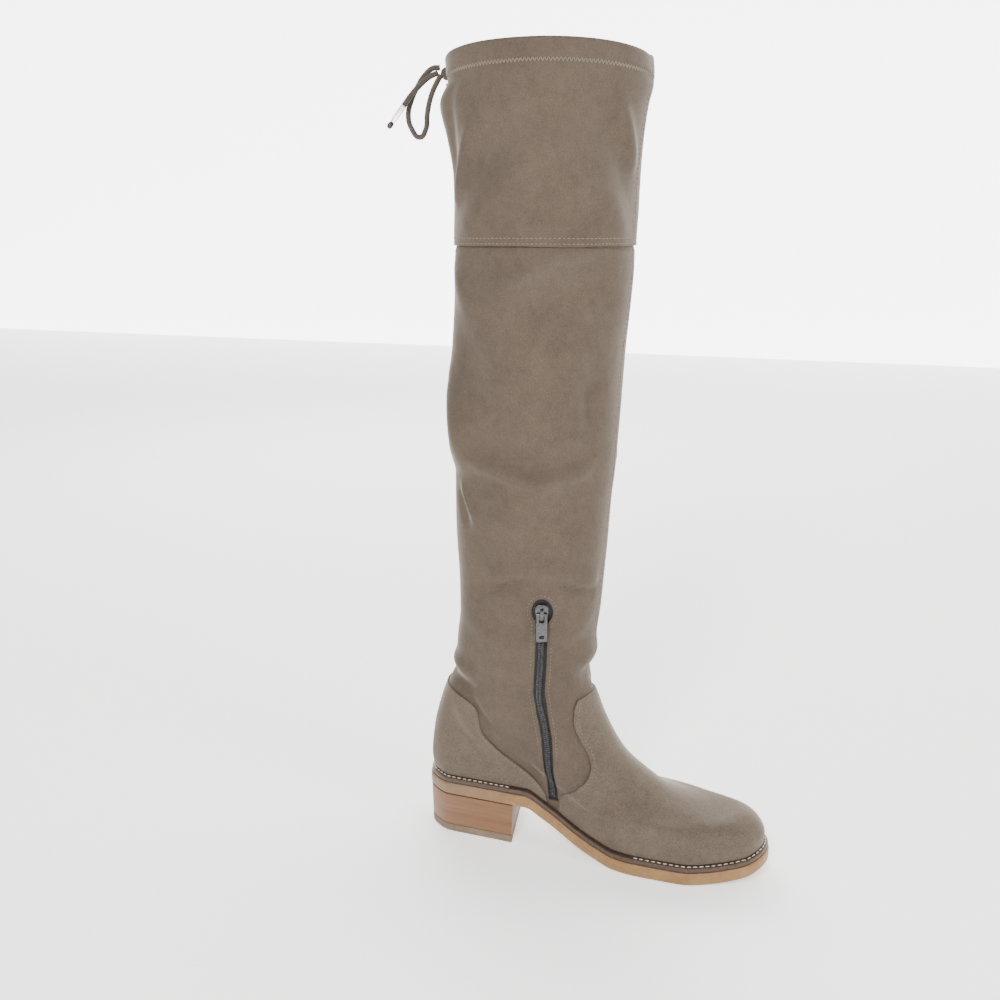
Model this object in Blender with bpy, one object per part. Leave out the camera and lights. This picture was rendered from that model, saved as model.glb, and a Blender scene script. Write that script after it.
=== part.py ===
"""Thigh high boot for the left foot, standing empty on its sole.

Metres, +Z up. The toe points along +X and the inner (medial) side faces -Y.
The origin is the middle of the heel's ground face.
"""
import math

import bmesh
import bpy
import numpy as np
from mathutils import Matrix, Vector

# Driving sizes of the sole
LENGTH = 0.272
BALL_WIDTH = 0.095
HEEL_HEIGHT = 0.0325
HEEL_LENGTH = 0.080
HEEL_SLANT = 0.014
TOP_PIECE = 0.006
OUTSOLE = 0.0095
TOE_SPRING = 0.011
WELT = 0.004
WELT_SHELF = 0.005
INSOLE = 0.003
INSOLE_PLAY = 0.001
INSOLE_LIFT = 0.0009
EDGE_ROUND = 0.001
HEEL_INSET = 0.0004
HEEL_TAPER = 0.0008

# Driving sizes of the upper
BOOT_HEIGHT = 0.5866
RIM_CROWN = 0.006
ANKLE_RISE = 0.096
COLLAR_DEPTH = 0.138
COLLAR_WIDTH = 0.120
SHAFT_MIDDLE = 0.0915
WALL = 0.0018
OVERLAY = 0.0012
OVERLAY_START = 0.25
KNEE_SEAM = 0.736
SEAM_LAP = 0.008
HEM_HEIGHT = 0.013
HEM_STEP = 0.001
HEM_EDGE = 0.03
GAP = 0.0003

# Driving sizes of the zip, whose heights are measured from the ground
ZIP_FOOT = 0.0415
ZIP_TOP = 0.198
SLOT_WIDTH = 0.0085
SLOT_HEAD_WIDTH = 0.015
SLOT_HEAD = 0.020
TAPE_WIDTH = 0.024
TAPE = 0.0008
CHAIN_WIDTH = 0.0052
CHAIN_PROUD = 0.0005
SLIDER_WIDTH = 0.0095
SLIDER_LENGTH = 0.0125
SLIDER_PROUD = 0.0026
BRIDGE_WIDTH = 0.0024
BRIDGE_METAL = 0.0010
PULL_WIDTH = 0.0080
PULL_LENGTH = 0.0215
PULL_METAL = 0.0014
PULL_PLAY = 0.0005

# Driving sizes of the drawstring
CORD = 0.0038
KNOT_WIDTH = 0.0105
KNOT_DEPTH = 0.0085
KNOT_HEIGHT = 0.0095
KNOT_BULGE = 0.10
KNOT_BELOW_RIM = 0.0055
AGLET_LENGTH = 0.014
BEAD_LENGTH = 0.005

# Grid of the upper
COLUMNS = 38
BUNCHING = 0.15
HEEL_CENTRE = HEEL_LENGTH / 2
HEEL_BACK = -HEEL_CENTRE

# Sole outline, half widths as shares of the ball width
OUTLINE_COLUMNS = ("share", "medial", "lateral")
OUTLINE = (
    (0.00, 0.000, 0.000),
    (0.03, 0.222, 0.222),
    (0.10, 0.328, 0.328),
    (0.25, 0.325, 0.345),
    (0.40, 0.325, 0.410),
    (0.55, 0.385, 0.510),
    (0.66, 0.440, 0.540),
    (0.78, 0.430, 0.500),
    (0.885, 0.345, 0.405),
    (0.96, 0.255, 0.275),
    (1.00, 0.000, 0.000),
)

# Underside of the outsole, as shares of the heel height and of the toe spring
SOLE_COLUMNS = ("share", "heel", "toe")
SOLE_LINE = (
    (0.00, 1.00, 0.00),
    (0.33, 1.00, 0.00),
    (0.38, 0.80, 0.00),
    (0.43, 0.56, 0.00),
    (0.48, 0.33, 0.00),
    (0.54, 0.13, 0.00),
    (0.60, 0.00, 0.00),
    (0.79, 0.00, 0.00),
    (0.86, 0.00, 0.13),
    (0.93, 0.00, 0.48),
    (1.00, 0.00, 1.00),
)

# Rings of the foot from the feather line to the ankle. The back and front
# points are shares of the length and of the ankle rise above the welt, half
# widths are shares of the ball width, sole tells how much a ring follows the
# sole's outline, fill scales that outline and level straightens the ring.
FOOT_COLUMNS = ("back_in", "back_up", "front_in", "front_up", "medial", "lateral",
                "widest", "back_round", "front_round", "sole", "fill", "level")
FOOT = (
    (0.0195, 0.000, 0.9805, 0.000, 0.320, 0.320, 0.30, 2.1, 2.0, 1.00, 1.00, 0.00),
    (0.0120, 0.060, 0.9810, 0.080, 0.325, 0.325, 0.30, 2.1, 2.0, 1.00, 1.03, 0.00),
    (0.0095, 0.125, 0.9640, 0.185, 0.330, 0.330, 0.30, 2.1, 2.0, 0.96, 1.04, 0.02),
    (0.0105, 0.190, 0.9190, 0.268, 0.338, 0.338, 0.31, 2.1, 2.0, 0.86, 1.03, 0.06),
    (0.0130, 0.255, 0.8330, 0.292, 0.345, 0.345, 0.33, 2.1, 2.0, 0.72, 1.01, 0.12),
    (0.0165, 0.325, 0.7380, 0.354, 0.350, 0.350, 0.36, 2.1, 2.0, 0.56, 0.98, 0.20),
    (0.0215, 0.410, 0.6520, 0.495, 0.360, 0.360, 0.39, 2.1, 2.0, 0.40, 0.95, 0.31),
    (0.0315, 0.520, 0.5850, 0.640, 0.376, 0.376, 0.42, 2.1, 2.0, 0.26, 0.93, 0.46),
    (0.0475, 0.665, 0.5360, 0.810, 0.397, 0.397, 0.45, 2.1, 2.0, 0.14, 0.91, 0.64),
    (0.0700, 0.832, 0.5030, 0.990, 0.420, 0.420, 0.47, 2.1, 2.0, 0.05, 0.90, 0.83),
)

# Rings of the shaft from the ankle to the rim. Heights are shares of the shaft
# rise, back and front are distances from the shaft's middle as shares of the
# collar's depth, half widths are shares of the collar's width.
SHAFT_COLUMNS = ("rise", "back", "front", "medial", "lateral", "crown")
SHAFT = (
    (0.0000, 0.487, 0.290, 0.350, 0.350, 0.00),
    (0.0443, 0.480, 0.299, 0.358, 0.358, 0.00),
    (0.0968, 0.465, 0.317, 0.371, 0.371, 0.00),
    (0.1540, 0.466, 0.337, 0.383, 0.383, 0.00),
    (0.2338, 0.477, 0.363, 0.396, 0.396, 0.00),
    (0.3137, 0.482, 0.375, 0.408, 0.408, 0.00),
    (0.3433, 0.482, 0.383, 0.413, 0.413, 0.00),
    (0.3936, 0.520, 0.395, 0.421, 0.421, 0.00),
    (0.4735, 0.504, 0.417, 0.429, 0.429, 0.00),
    (0.5534, 0.490, 0.433, 0.442, 0.442, 0.00),
    (0.6333, 0.470, 0.453, 0.454, 0.454, 0.00),
    (0.6904, 0.462, 0.464, 0.463, 0.463, 0.00),
    (0.7361, 0.459, 0.465, 0.471, 0.471, 0.00),
    (0.7817, 0.449, 0.465, 0.477, 0.477, 0.08),
    (0.8274, 0.453, 0.469, 0.483, 0.483, 0.20),
    (0.8845, 0.482, 0.482, 0.492, 0.492, 0.50),
    (0.9301, 0.518, 0.501, 0.496, 0.496, 0.80),
    (0.9600, 0.475, 0.521, 0.500, 0.500, 1.00),
    (0.9850, 0.478, 0.512, 0.500, 0.500, 1.00),
    (1.0000, 0.486, 0.507, 0.500, 0.500, 1.00),
)

# Edges seen from the side: heights as shares of the ankle rise above the seat,
# places as shares of the length from the heel's back
EDGE_COLUMNS = ("up", "along")
VAMP_EDGE = (
    (-0.300, 0.424),
    (-0.050, 0.430),
    (0.052, 0.436),
    (0.125, 0.467),
    (0.208, 0.507),
    (0.323, 0.522),
    (0.427, 0.511),
    (0.552, 0.485),
    (0.698, 0.467),
    (0.802, 0.467),
    (0.865, 0.474),
    (0.896, 0.487),
    (0.910, 0.530),
)
COUNTER_EDGE = (
    (-0.040, 0.394),
    (0.040, 0.388),
    (0.146, 0.360),
    (0.250, 0.309),
    (0.354, 0.250),
    (0.520, 0.199),
    (0.698, 0.184),
    (0.780, 0.150),
    (0.812, 0.107),
    (0.828, 0.060),
)
ZIP_LINE = (
    (0.00, 0.412),
    (0.20, 0.403),
    (0.40, 0.393),
    (0.55, 0.377),
    (0.75, 0.384),
    (1.00, 0.390),
)

# Drawstring routes as distances from the knot's middle: forward, to the outer
# side and up
LOOP_MEDIAL = (
    (-0.0058, -0.0001, 0.0045),
    (-0.0103, -0.0023, 0.0040),
    (-0.0154, -0.0055, -0.0010),
    (-0.0198, -0.0086, -0.0090),
    (-0.0233, -0.0117, -0.0185),
    (-0.0247, -0.0139, -0.0285),
    (-0.0222, -0.0139, -0.0375),
    (-0.0169, -0.0117, -0.0432),
    (-0.0129, -0.0104, -0.0380),
    (-0.0113, -0.0106, -0.0270),
    (-0.0085, -0.0100, -0.0155),
    (-0.0048, -0.0083, -0.0065),
    (-0.0024, -0.0062, -0.0016),
)
END_MEDIAL = (
    (-0.0057, -0.0038, 0.0006),
    (-0.0113, -0.0068, -0.0024),
    (-0.0164, -0.0118, -0.0083),
    (-0.0209, -0.0169, -0.0152),
    (-0.0248, -0.0211, -0.0226),
)
LOOP_LATERAL = (
    (0.0005, 0.0068, 0.0022),
    (0.0020, 0.0140, 0.0015),
    (0.0045, 0.0230, -0.0030),
    (0.0085, 0.0310, -0.0115),
    (0.0095, 0.0372, -0.0220),
    (0.0088, 0.0378, -0.0320),
    (0.0070, 0.0315, -0.0395),
    (0.0032, 0.0262, -0.0370),
    (0.0012, 0.0232, -0.0280),
    (0.0022, 0.0205, -0.0180),
    (0.0008, 0.0160, -0.0095),
    (-0.0012, 0.0088, -0.0040),
)
END_LATERAL = (
    (-0.0012, 0.0034, -0.0062),
    (0.0005, 0.0095, -0.0140),
    (-0.0014, 0.0128, -0.0240),
    (0.0006, 0.0145, -0.0340),
    (0.0016, 0.0150, -0.0440),
)

SUEDE_FOOT = ((0.33, 0.26, 0.21), 0.95, 0.0)
SUEDE_SHAFT = ((0.24, 0.19, 0.15), 0.95, 0.0)
CREPE = ((0.42, 0.24, 0.10), 0.75, 0.0)
STACK = ((0.52, 0.28, 0.13), 0.55, 0.0)
TOP_RUBBER = ((0.30, 0.24, 0.19), 0.8, 0.0)
WELT_BROWN = ((0.09, 0.05, 0.03), 0.6, 0.0)
LINING = ((0.45, 0.38, 0.30), 0.8, 0.0)
TAPE_BLACK = ((0.02, 0.02, 0.02), 0.8, 0.0)
GUNMETAL = ((0.18, 0.18, 0.18), 0.35, 1.0)
CORD_BROWN = ((0.08, 0.06, 0.05), 0.7, 0.0)


def smooth(xs, ys, at):
    """Monotone cubic through the points (xs, ys), read at the given places."""
    xs = np.asarray(xs, float)
    ys = np.asarray(ys, float)
    step = np.diff(xs)
    slope = np.diff(ys) / step
    tangent = np.zeros_like(ys)
    tangent[0] = slope[0]
    tangent[-1] = slope[-1]
    same = slope[1:] * slope[:-1] > 0
    total = np.where(same, slope[1:] + slope[:-1], 1.0)
    tangent[1:-1] = np.where(same, 2 * slope[1:] * slope[:-1] / total, 0.0)
    i = np.clip(np.searchsorted(xs, at, side="right") - 1, 0, len(xs) - 2)
    u = (at - xs[i]) / step[i]
    start = (2 * u**3 - 3 * u**2 + 1) * ys[i] + (u**3 - 2 * u**2 + u) * step[i] * tangent[i]
    end = (3 * u**2 - 2 * u**3) * ys[i + 1] + (u**3 - u**2) * step[i] * tangent[i + 1]
    return start + end


def column(table, names, name):
    return np.array([row[names.index(name)] for row in table])


def sole_half_width(share, side):
    """Half width of the sole at a share of its length, round at both ends."""
    widths = column(OUTLINE, OUTLINE_COLUMNS, side) * BALL_WIDTH
    places = column(OUTLINE, OUTLINE_COLUMNS, "share")
    return np.sqrt(np.clip(smooth(places, widths**2, share), 0.0, None))


def sole_path(angle):
    """Outline of the sole seen from above: 0 is the heel's back, pi the toe."""
    share = (1 - np.cos(angle)) / 2
    medial = np.sin(angle) >= 0
    y = np.where(medial, -sole_half_width(share, "medial"), sole_half_width(share, "lateral"))
    return np.stack([HEEL_BACK + share * LENGTH, y], axis=-1)


def sole_edge(angle, inset=0.0):
    """The sole's outline moved inwards by an inset."""
    small = 1e-3
    ahead = sole_path(angle + small) - sole_path(angle - small)
    ahead /= np.linalg.norm(ahead, axis=-1, keepdims=True)
    outward = np.stack([ahead[..., 1], -ahead[..., 0]], axis=-1)
    return sole_path(angle) - outward * inset


def sole_under(x):
    """Height of the outsole's underside."""
    share = np.clip((x - HEEL_BACK) / LENGTH, 0.0, 1.0)
    places = column(SOLE_LINE, SOLE_COLUMNS, "share")
    heights = (column(SOLE_LINE, SOLE_COLUMNS, "heel") * HEEL_HEIGHT
               + column(SOLE_LINE, SOLE_COLUMNS, "toe") * TOE_SPRING)
    return smooth(places, heights, share)


def sole_top(x):
    """Height of the outsole's upper face."""
    return sole_under(x) + OUTSOLE


FEATHER_INSET = WELT_SHELF + GAP
WELT_TOP = GAP + WELT + GAP
ANKLE_HEIGHT = HEEL_HEIGHT + OUTSOLE + WELT_TOP + ANKLE_RISE
SHAFT_RISE = BOOT_HEIGHT - RIM_CROWN - ANKLE_HEIGHT
SHAFT_X = HEEL_BACK + SHAFT_MIDDLE


def ring_table():
    """Every ring's real sizes, one array for each quantity, feather to rim."""
    foot = {name: column(FOOT, FOOT_COLUMNS, name) for name in FOOT_COLUMNS}
    shaft = {name: column(SHAFT, SHAFT_COLUMNS, name) for name in SHAFT_COLUMNS}
    back_x = HEEL_BACK + foot["back_in"] * LENGTH
    front_x = HEEL_BACK + foot["front_in"] * LENGTH
    back_up = WELT_TOP + foot["back_up"] * ANKLE_RISE
    front_up = WELT_TOP + foot["front_up"] * ANKLE_RISE
    shaft_back = SHAFT_X - shaft["back"] * COLLAR_DEPTH
    shaft_front = SHAFT_X + shaft["front"] * COLLAR_DEPTH
    shaft_z = ANKLE_HEIGHT + shaft["rise"] * SHAFT_RISE
    feather = sole_edge(np.array([0.0, math.pi]), FEATHER_INSET)[:, 0]
    one = np.ones(len(SHAFT))

    def join(first, foot_values, shaft_values):
        return np.concatenate([[first], foot_values, shaft_values])

    return {
        "back_x": join(feather[0], back_x, shaft_back),
        "front_x": join(feather[1], front_x, shaft_front),
        "back_up": join(2 * GAP, back_up, shaft_z - sole_top(shaft_back)),
        "front_up": join(2 * GAP, front_up, shaft_z - sole_top(shaft_front)),
        "medial": join(0.3 * BALL_WIDTH, foot["medial"] * BALL_WIDTH,
                       shaft["medial"] * COLLAR_WIDTH),
        "lateral": join(0.3 * BALL_WIDTH, foot["lateral"] * BALL_WIDTH,
                        shaft["lateral"] * COLLAR_WIDTH),
        "widest": join(0.30, foot["widest"], 0.5 * one),
        "back_round": join(2.1, foot["back_round"], 2.1 * one),
        "front_round": join(2.0, foot["front_round"], 2.1 * one),
        "sole": join(1.0, foot["sole"], 0 * one),
        "fill": join(1.0, foot["fill"], 0.9 * one),
        "level": join(0.0, foot["level"], one),
        "crown": join(0.0, 0 * foot["level"], shaft["crown"] * RIM_CROWN),
    }


RINGS = ring_table()
FIRST_SHAFT_RING = len(FOOT) + 1
LAST_RING = FIRST_SHAFT_RING + len(SHAFT) - 1


def skin(angle, ring):
    """Point on the boot's outer skin: angle runs round it, ring runs up it."""
    at = {name: smooth(np.arange(LAST_RING + 1), values, ring) for name, values in RINGS.items()}
    plan = sole_edge(angle, FEATHER_INSET)
    start, end = sole_edge(np.array([0.0, math.pi]), FEATHER_INSET)[:, 0]
    sole_share = (plan[..., 0] - start) / (end - start)
    cos, sin = np.cos(angle), np.sin(angle)
    rearward = cos > 0
    power = 2 / np.where(rearward, at["back_round"], at["front_round"])
    reach = np.abs(cos) ** power
    oval_share = np.where(rearward, at["widest"] * (1 - reach),
                          at["widest"] + (1 - at["widest"]) * reach)
    half = np.where(sin >= 0, -at["medial"], at["lateral"])
    share = at["sole"] * sole_share + (1 - at["sole"]) * oval_share
    y = at["sole"] * at["fill"] * plan[..., 1] + (1 - at["sole"]) * half * np.abs(sin) ** power
    x = at["back_x"] + (at["front_x"] - at["back_x"]) * share
    back_z = sole_top(at["back_x"]) + at["back_up"]
    front_z = sole_top(at["front_x"]) + at["front_up"]
    straight = back_z + (front_z - back_z) * share
    curved = sole_top(x) + at["back_up"] + (at["front_up"] - at["back_up"]) * share
    z = at["level"] * straight + (1 - at["level"]) * curved + at["crown"] * np.abs(sin)
    return np.stack([x, y, z], axis=-1)


def skin_out(angle, ring, out):
    """The skin moved outwards along its normal."""
    small = 1e-3
    low = np.clip(ring - small, 0, LAST_RING)
    high = np.clip(ring + small, 0, LAST_RING)
    along = skin(angle + small, ring) - skin(angle - small, ring)
    up = skin(angle, high) - skin(angle, low)
    normal = np.cross(along, up)
    normal /= np.linalg.norm(normal, axis=-1, keepdims=True)
    return skin(angle, ring) + normal * np.expand_dims(out, -1)


def material(name, look):
    colour, roughness, metallic = look
    made = bpy.data.materials.new(name)
    made.use_nodes = True
    shader = made.node_tree.nodes["Principled BSDF"]
    shader.inputs["Base Color"].default_value = (*colour, 1.0)
    shader.inputs["Roughness"].default_value = roughness
    shader.inputs["Metallic"].default_value = metallic
    made.diffuse_color = (*colour, 1.0)
    return made


def add_mesh(name, points, faces, look=None, smooth_angle=35.0):
    """A mesh object, shaded smooth up to an angle where it has a material."""
    mesh = bpy.data.meshes.new(name)
    mesh.from_pydata([tuple(point) for point in points], [], faces)
    mesh.update()
    if look:
        mesh.materials.append(material(name, look))
        mesh.shade_smooth()
        mesh.set_sharp_from_angle(angle=math.radians(smooth_angle))
    made = bpy.data.objects.new(name, mesh)
    bpy.context.collection.objects.link(made)
    return made


def grid_wall(name, outer, inner, closed, look):
    """A wall between two grids of points, as rings of equal triangles.

    Both grids are [ring][place on the ring], rings from the bottom up.
    """
    rings, places = outer.shape[:2]
    spans = places if closed else places - 1
    points = np.concatenate([outer.reshape(-1, 3), inner.reshape(-1, 3)])
    faces = []

    def quad(a, b, c, d):
        faces.append((a, b, c))
        faces.append((a, c, d))

    def outer_at(ring, place):
        return ring * places + place % places

    def inner_at(ring, place):
        return rings * places + outer_at(ring, place)

    for ring in range(rings - 1):
        for place in range(spans):
            quad(outer_at(ring, place), outer_at(ring, place + 1),
                 outer_at(ring + 1, place + 1), outer_at(ring + 1, place))
            faces.append((inner_at(ring, place), inner_at(ring + 1, place + 1),
                          inner_at(ring, place + 1)))
            faces.append((inner_at(ring, place), inner_at(ring + 1, place),
                          inner_at(ring + 1, place + 1)))
    for place in range(spans):
        quad(inner_at(0, place), inner_at(0, place + 1), outer_at(0, place + 1),
             outer_at(0, place))
        top = rings - 1
        quad(outer_at(top, place), outer_at(top, place + 1), inner_at(top, place + 1),
             inner_at(top, place))
    if not closed:
        last = places - 1
        for ring in range(rings - 1):
            quad(inner_at(ring, 0), outer_at(ring, 0), outer_at(ring + 1, 0),
                 inner_at(ring + 1, 0))
            quad(outer_at(ring, last), inner_at(ring, last), inner_at(ring + 1, last),
                 outer_at(ring + 1, last))
    return add_mesh(name, points, faces, look)


def side_cutter(name, outline, near, far):
    """A prism with an outline of (x, z) points, from y = near to y = far."""
    points = [(x, near, z) for x, z in outline] + [(x, far, z) for x, z in outline]
    count = len(outline)
    faces = [tuple(range(count)), tuple(reversed(range(count, 2 * count)))]
    for i in range(count):
        j = (i + 1) % count
        faces.append((j, i, count + i, count + j))
    made = add_mesh(name, points, faces)
    made.hide_render = True
    made.display_type = "WIRE"
    return made


def cut(target, cutter, operation):
    modifier = target.modifiers.new(cutter.name, "BOOLEAN")
    modifier.object = cutter
    modifier.operation = operation
    modifier.solver = "EXACT"


def column_angles():
    """Angles of the grid's columns, bunched towards the boot's sides."""
    turn = np.arange(COLUMNS) / COLUMNS
    return 2 * math.pi * turn + BUNCHING * np.sin(4 * math.pi * turn)


def plate(name, levels, look):
    """A solid between levels of (inset, height function), lowest first."""
    points = []
    for inset, height in levels:
        ring = sole_edge(column_angles(), inset)
        points += [(x, y, float(height(x))) for x, y in ring]
    faces = []
    for level in range(len(levels) - 1):
        for i in range(COLUMNS):
            j = (i + 1) % COLUMNS
            low, high = level * COLUMNS, (level + 1) * COLUMNS
            faces.append((low + i, low + j, high + j, high + i))
    top = (len(levels) - 1) * COLUMNS
    for i in range(COLUMNS // 2):
        corners = [i, i + 1, COLUMNS - i - 1, (COLUMNS - i) % COLUMNS]
        strip = list(dict.fromkeys(corners))
        faces.append(tuple(reversed(strip)))
        faces.append(tuple(top + k for k in strip))
    return add_mesh(name, points, faces, look, 40.0)


def build_outsole():
    plate("outsole", (
        (EDGE_ROUND, sole_under),
        (0.0, lambda x: sole_under(x) + EDGE_ROUND),
        (0.0, lambda x: sole_top(x) - EDGE_ROUND),
        (EDGE_ROUND, sole_top),
    ), CREPE)


def build_welt():
    """The ring between the outsole and the upper, as wide as the shelf."""
    outer = sole_edge(column_angles(), EDGE_ROUND)
    inner = sole_edge(column_angles(), WELT_SHELF)
    low_out = np.column_stack([outer, sole_top(outer[:, 0]) + GAP])
    low_in = np.column_stack([inner, sole_top(inner[:, 0]) + GAP])
    rise = np.array([0.0, 0.0, WELT])
    grid_wall("welt", np.stack([low_out, low_out + rise]), np.stack([low_in, low_in + rise]),
              True, WELT_BROWN)


def build_insole():
    inset = FEATHER_INSET + WALL + INSOLE_PLAY
    plate("insole", (
        (inset, lambda x: sole_top(x) + INSOLE_LIFT),
        (inset, lambda x: sole_top(x) + INSOLE_LIFT + INSOLE),
    ), LINING)


def heel_block(name, low, high, low_inset, high_inset, look):
    """Part of the heel: the sole's back outline closed by a slanted breast."""
    points = []
    for inset, height in ((low_inset, low), (high_inset, high)):
        breast = HEEL_BACK + HEEL_LENGTH - inset
        reach = math.acos(1 - 2 * (HEEL_LENGTH - inset) / LENGTH)
        short = math.acos(1 - 2 * (HEEL_LENGTH - HEEL_SLANT - inset) / LENGTH)
        angles = np.linspace(-short, reach, 29)
        ring = sole_edge(angles, inset)
        ring[-1, 0] = breast
        ring[0, 0] = breast - HEEL_SLANT
        points += [(x, y, height) for x, y in ring]
    count = len(points) // 2
    faces = [tuple(reversed(range(count))), tuple(range(count, 2 * count))]
    for i in range(count):
        j = (i + 1) % count
        faces.append((i, j, count + j, count + i))
    return add_mesh(name, points, faces, look)


def build_heel():
    stack_low = TOP_PIECE + GAP
    low = HEEL_INSET + HEEL_TAPER
    heel_block("heel_top_piece", 0.0, TOP_PIECE, low, low, TOP_RUBBER)
    heel_block("heel_stack", stack_low, HEEL_HEIGHT - GAP, low, HEEL_INSET, STACK)


def shaft_ring(share):
    """Ring at a share of the shaft's rise, which may lie between two rings."""
    rises = column(SHAFT, SHAFT_COLUMNS, "rise")
    return FIRST_SHAFT_RING + float(np.interp(share, rises, np.arange(len(rises))))


def knee_ring():
    return round(shaft_ring(KNEE_SEAM))


def upper_rings():
    """Rings of the upper, with halves between them over the vamp."""
    low = np.arange(0, 5)
    vamp = np.arange(5, FIRST_SHAFT_RING, 0.5)
    return np.concatenate([low, vamp, np.arange(FIRST_SHAFT_RING, knee_ring() + 1)])


def skin_grid(rings, out):
    angles, ups = np.meshgrid(column_angles(), rings)
    return skin_out(angles, ups, np.full(angles.shape, out))


def zip_points(low, high, steps=9):
    """The zip's middle line seen from the side, from low to high."""
    z = np.linspace(low, high, steps)
    share = (z - ZIP_FOOT) / (ZIP_TOP - ZIP_FOOT)
    places = column(ZIP_LINE, EDGE_COLUMNS, "up")
    along = smooth(places, column(ZIP_LINE, EDGE_COLUMNS, "along"), np.clip(share, 0, 1))
    return np.column_stack([HEEL_BACK + along * LENGTH, z])


def band_outline(low, high, width):
    """A band about the zip's middle line, as a side view outline."""
    middle = zip_points(low, high)
    right = middle + np.array([width / 2, 0.0])
    left = middle - np.array([width / 2, 0.0])
    return [tuple(p) for p in right] + [tuple(p) for p in left[::-1]]


def slot_outline():
    """The zip's opening, with its wide round head about the slider."""
    head_low = ZIP_TOP - SLOT_HEAD / 2
    middle = zip_points(ZIP_FOOT, head_low)
    head_x, _ = zip_points(ZIP_TOP, ZIP_TOP, 1)[0]
    side = np.array([SLOT_WIDTH / 2, 0.0])
    arc = np.linspace(-0.9, math.pi + 0.9, 15)
    centre = np.array([head_x, ZIP_TOP])
    head = centre + np.column_stack([np.cos(arc) * SLOT_HEAD_WIDTH / 2,
                                     np.sin(arc) * SLOT_HEAD / 2])
    outline = list(middle + side) + list(head) + list((middle - side)[::-1])
    return [tuple(point) for point in outline]


def build_upper():
    rings = upper_rings()
    upper = grid_wall("upper", skin_grid(rings, 0.0), skin_grid(rings, -WALL), True, SUEDE_SHAFT)
    cutter = side_cutter("cutter_slot", slot_outline(), -BALL_WIDTH, -BALL_WIDTH / 8)
    cut(upper, cutter, "DIFFERENCE")


def build_thigh_panel():
    """The panel above the knee seam, with its lap below and its hem above."""
    lap = shaft_ring(KNEE_SEAM - SEAM_LAP / SHAFT_RISE)
    hem = shaft_ring(1 - HEM_HEIGHT / SHAFT_RISE)
    inside = np.arange(knee_ring(), math.floor(hem) + 1)
    band = np.linspace(hem + HEM_EDGE, LAST_RING, 3)
    rings = np.concatenate([[lap], inside, [hem], band])
    step = np.where(rings > hem, HEM_STEP, 0.0)
    angles, ups = np.meshgrid(column_angles(), rings)
    outer = skin_out(angles, ups, np.broadcast_to((GAP + WALL + step)[:, None], angles.shape))
    inner = skin_out(angles, ups, np.full(angles.shape, GAP))
    grid_wall("thigh_panel", outer, inner, True, SUEDE_SHAFT)


def edge_outline(table):
    """Side view points (x, z) of an overlay's edge, from the bottom up."""
    seat = HEEL_HEIGHT + OUTSOLE
    ups = np.linspace(table[0][0], table[-1][0], 22)
    along = smooth(column(table, EDGE_COLUMNS, "up"), column(table, EDGE_COLUMNS, "along"), ups)
    return [(HEEL_BACK + a * LENGTH, seat + u * ANKLE_RISE) for a, u in zip(along, ups)]


def overlay_rings():
    """The upper's rings from just above the welt to the ankle."""
    rings = upper_rings()
    inside = rings[(rings > 1) & (rings <= FIRST_SHAFT_RING + 1)]
    return np.concatenate([[1 + OVERLAY_START], inside])


def build_layer(name, rings, low, high, outline, far, look):
    """A layer between two offsets of the skin, cut by a side view outline."""
    layer = grid_wall(name, skin_grid(rings, high), skin_grid(rings, low), True, look)
    cutter = side_cutter("cutter_" + name, outline, -BALL_WIDTH, far)
    cut(layer, cutter, "INTERSECT")


def build_overlay(name, outline):
    build_layer(name, overlay_rings(), GAP, GAP + OVERLAY, outline, BALL_WIDTH, SUEDE_FOOT)


def build_overlays():
    beyond = HEEL_BACK + 1.2 * LENGTH
    behind = HEEL_BACK - 0.2 * LENGTH
    vamp = edge_outline(VAMP_EDGE)
    build_overlay("vamp", [(beyond, vamp[0][1])] + [(beyond, vamp[-1][1])] + vamp[::-1])
    counter = edge_outline(COUNTER_EDGE)
    build_overlay("counter", [(behind, counter[-1][1]), (behind, counter[0][1])] + counter)


def zip_rings():
    """The upper's rings that the zip crosses, with one to spare at each end."""
    rings = upper_rings()
    return rings[(rings >= 1) & (rings <= FIRST_SHAFT_RING + 4)]


def medial_place(x, z):
    """Angle and ring of the shaft's inner side at a place seen from the side."""
    rings = np.linspace(FIRST_SHAFT_RING - 1, LAST_RING, 400)
    angles = np.linspace(0.2, math.pi - 0.2, 400)
    ring = np.interp(z, skin(np.full(400, math.pi / 2), rings)[:, 2], rings)
    angle = np.interp(x, skin(angles, np.full(400, ring))[:, 0], angles)
    return angle, ring


def slider_frame():
    """Place of the slider on the skin: local -Y faces out and Z is up."""
    x, z = zip_points(ZIP_TOP, ZIP_TOP, 1)[0]
    angle, ring = medial_place(x, z)
    place = skin(angle, ring)
    outward = skin_out(angle, ring, 1.0) - place
    yaw = math.atan2(outward[0], -outward[1])
    return Matrix.Translation(Vector(place)) @ Matrix.Rotation(yaw, 4, "Z")


def prism(name, outline, axis, low, high, frame, look=None):
    """A prism with an outline in the plane across a local axis, X or Y."""
    def point(a, b, c):
        return (c, a, b) if axis == "X" else (a, c, b)

    count = len(outline)
    points = [point(a, b, low) for a, b in outline] + [point(a, b, high) for a, b in outline]
    faces = [tuple(range(count)), tuple(reversed(range(count, 2 * count)))]
    for i in range(count):
        j = (i + 1) % count
        faces.append((j, i, count + i, count + j))
    if axis == "X":
        faces = [tuple(reversed(face)) for face in faces]
    made = add_mesh(name, points, faces, look)
    made.matrix_world = frame
    if not look:
        made.hide_render = True
        made.display_type = "WIRE"
    return made


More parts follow.
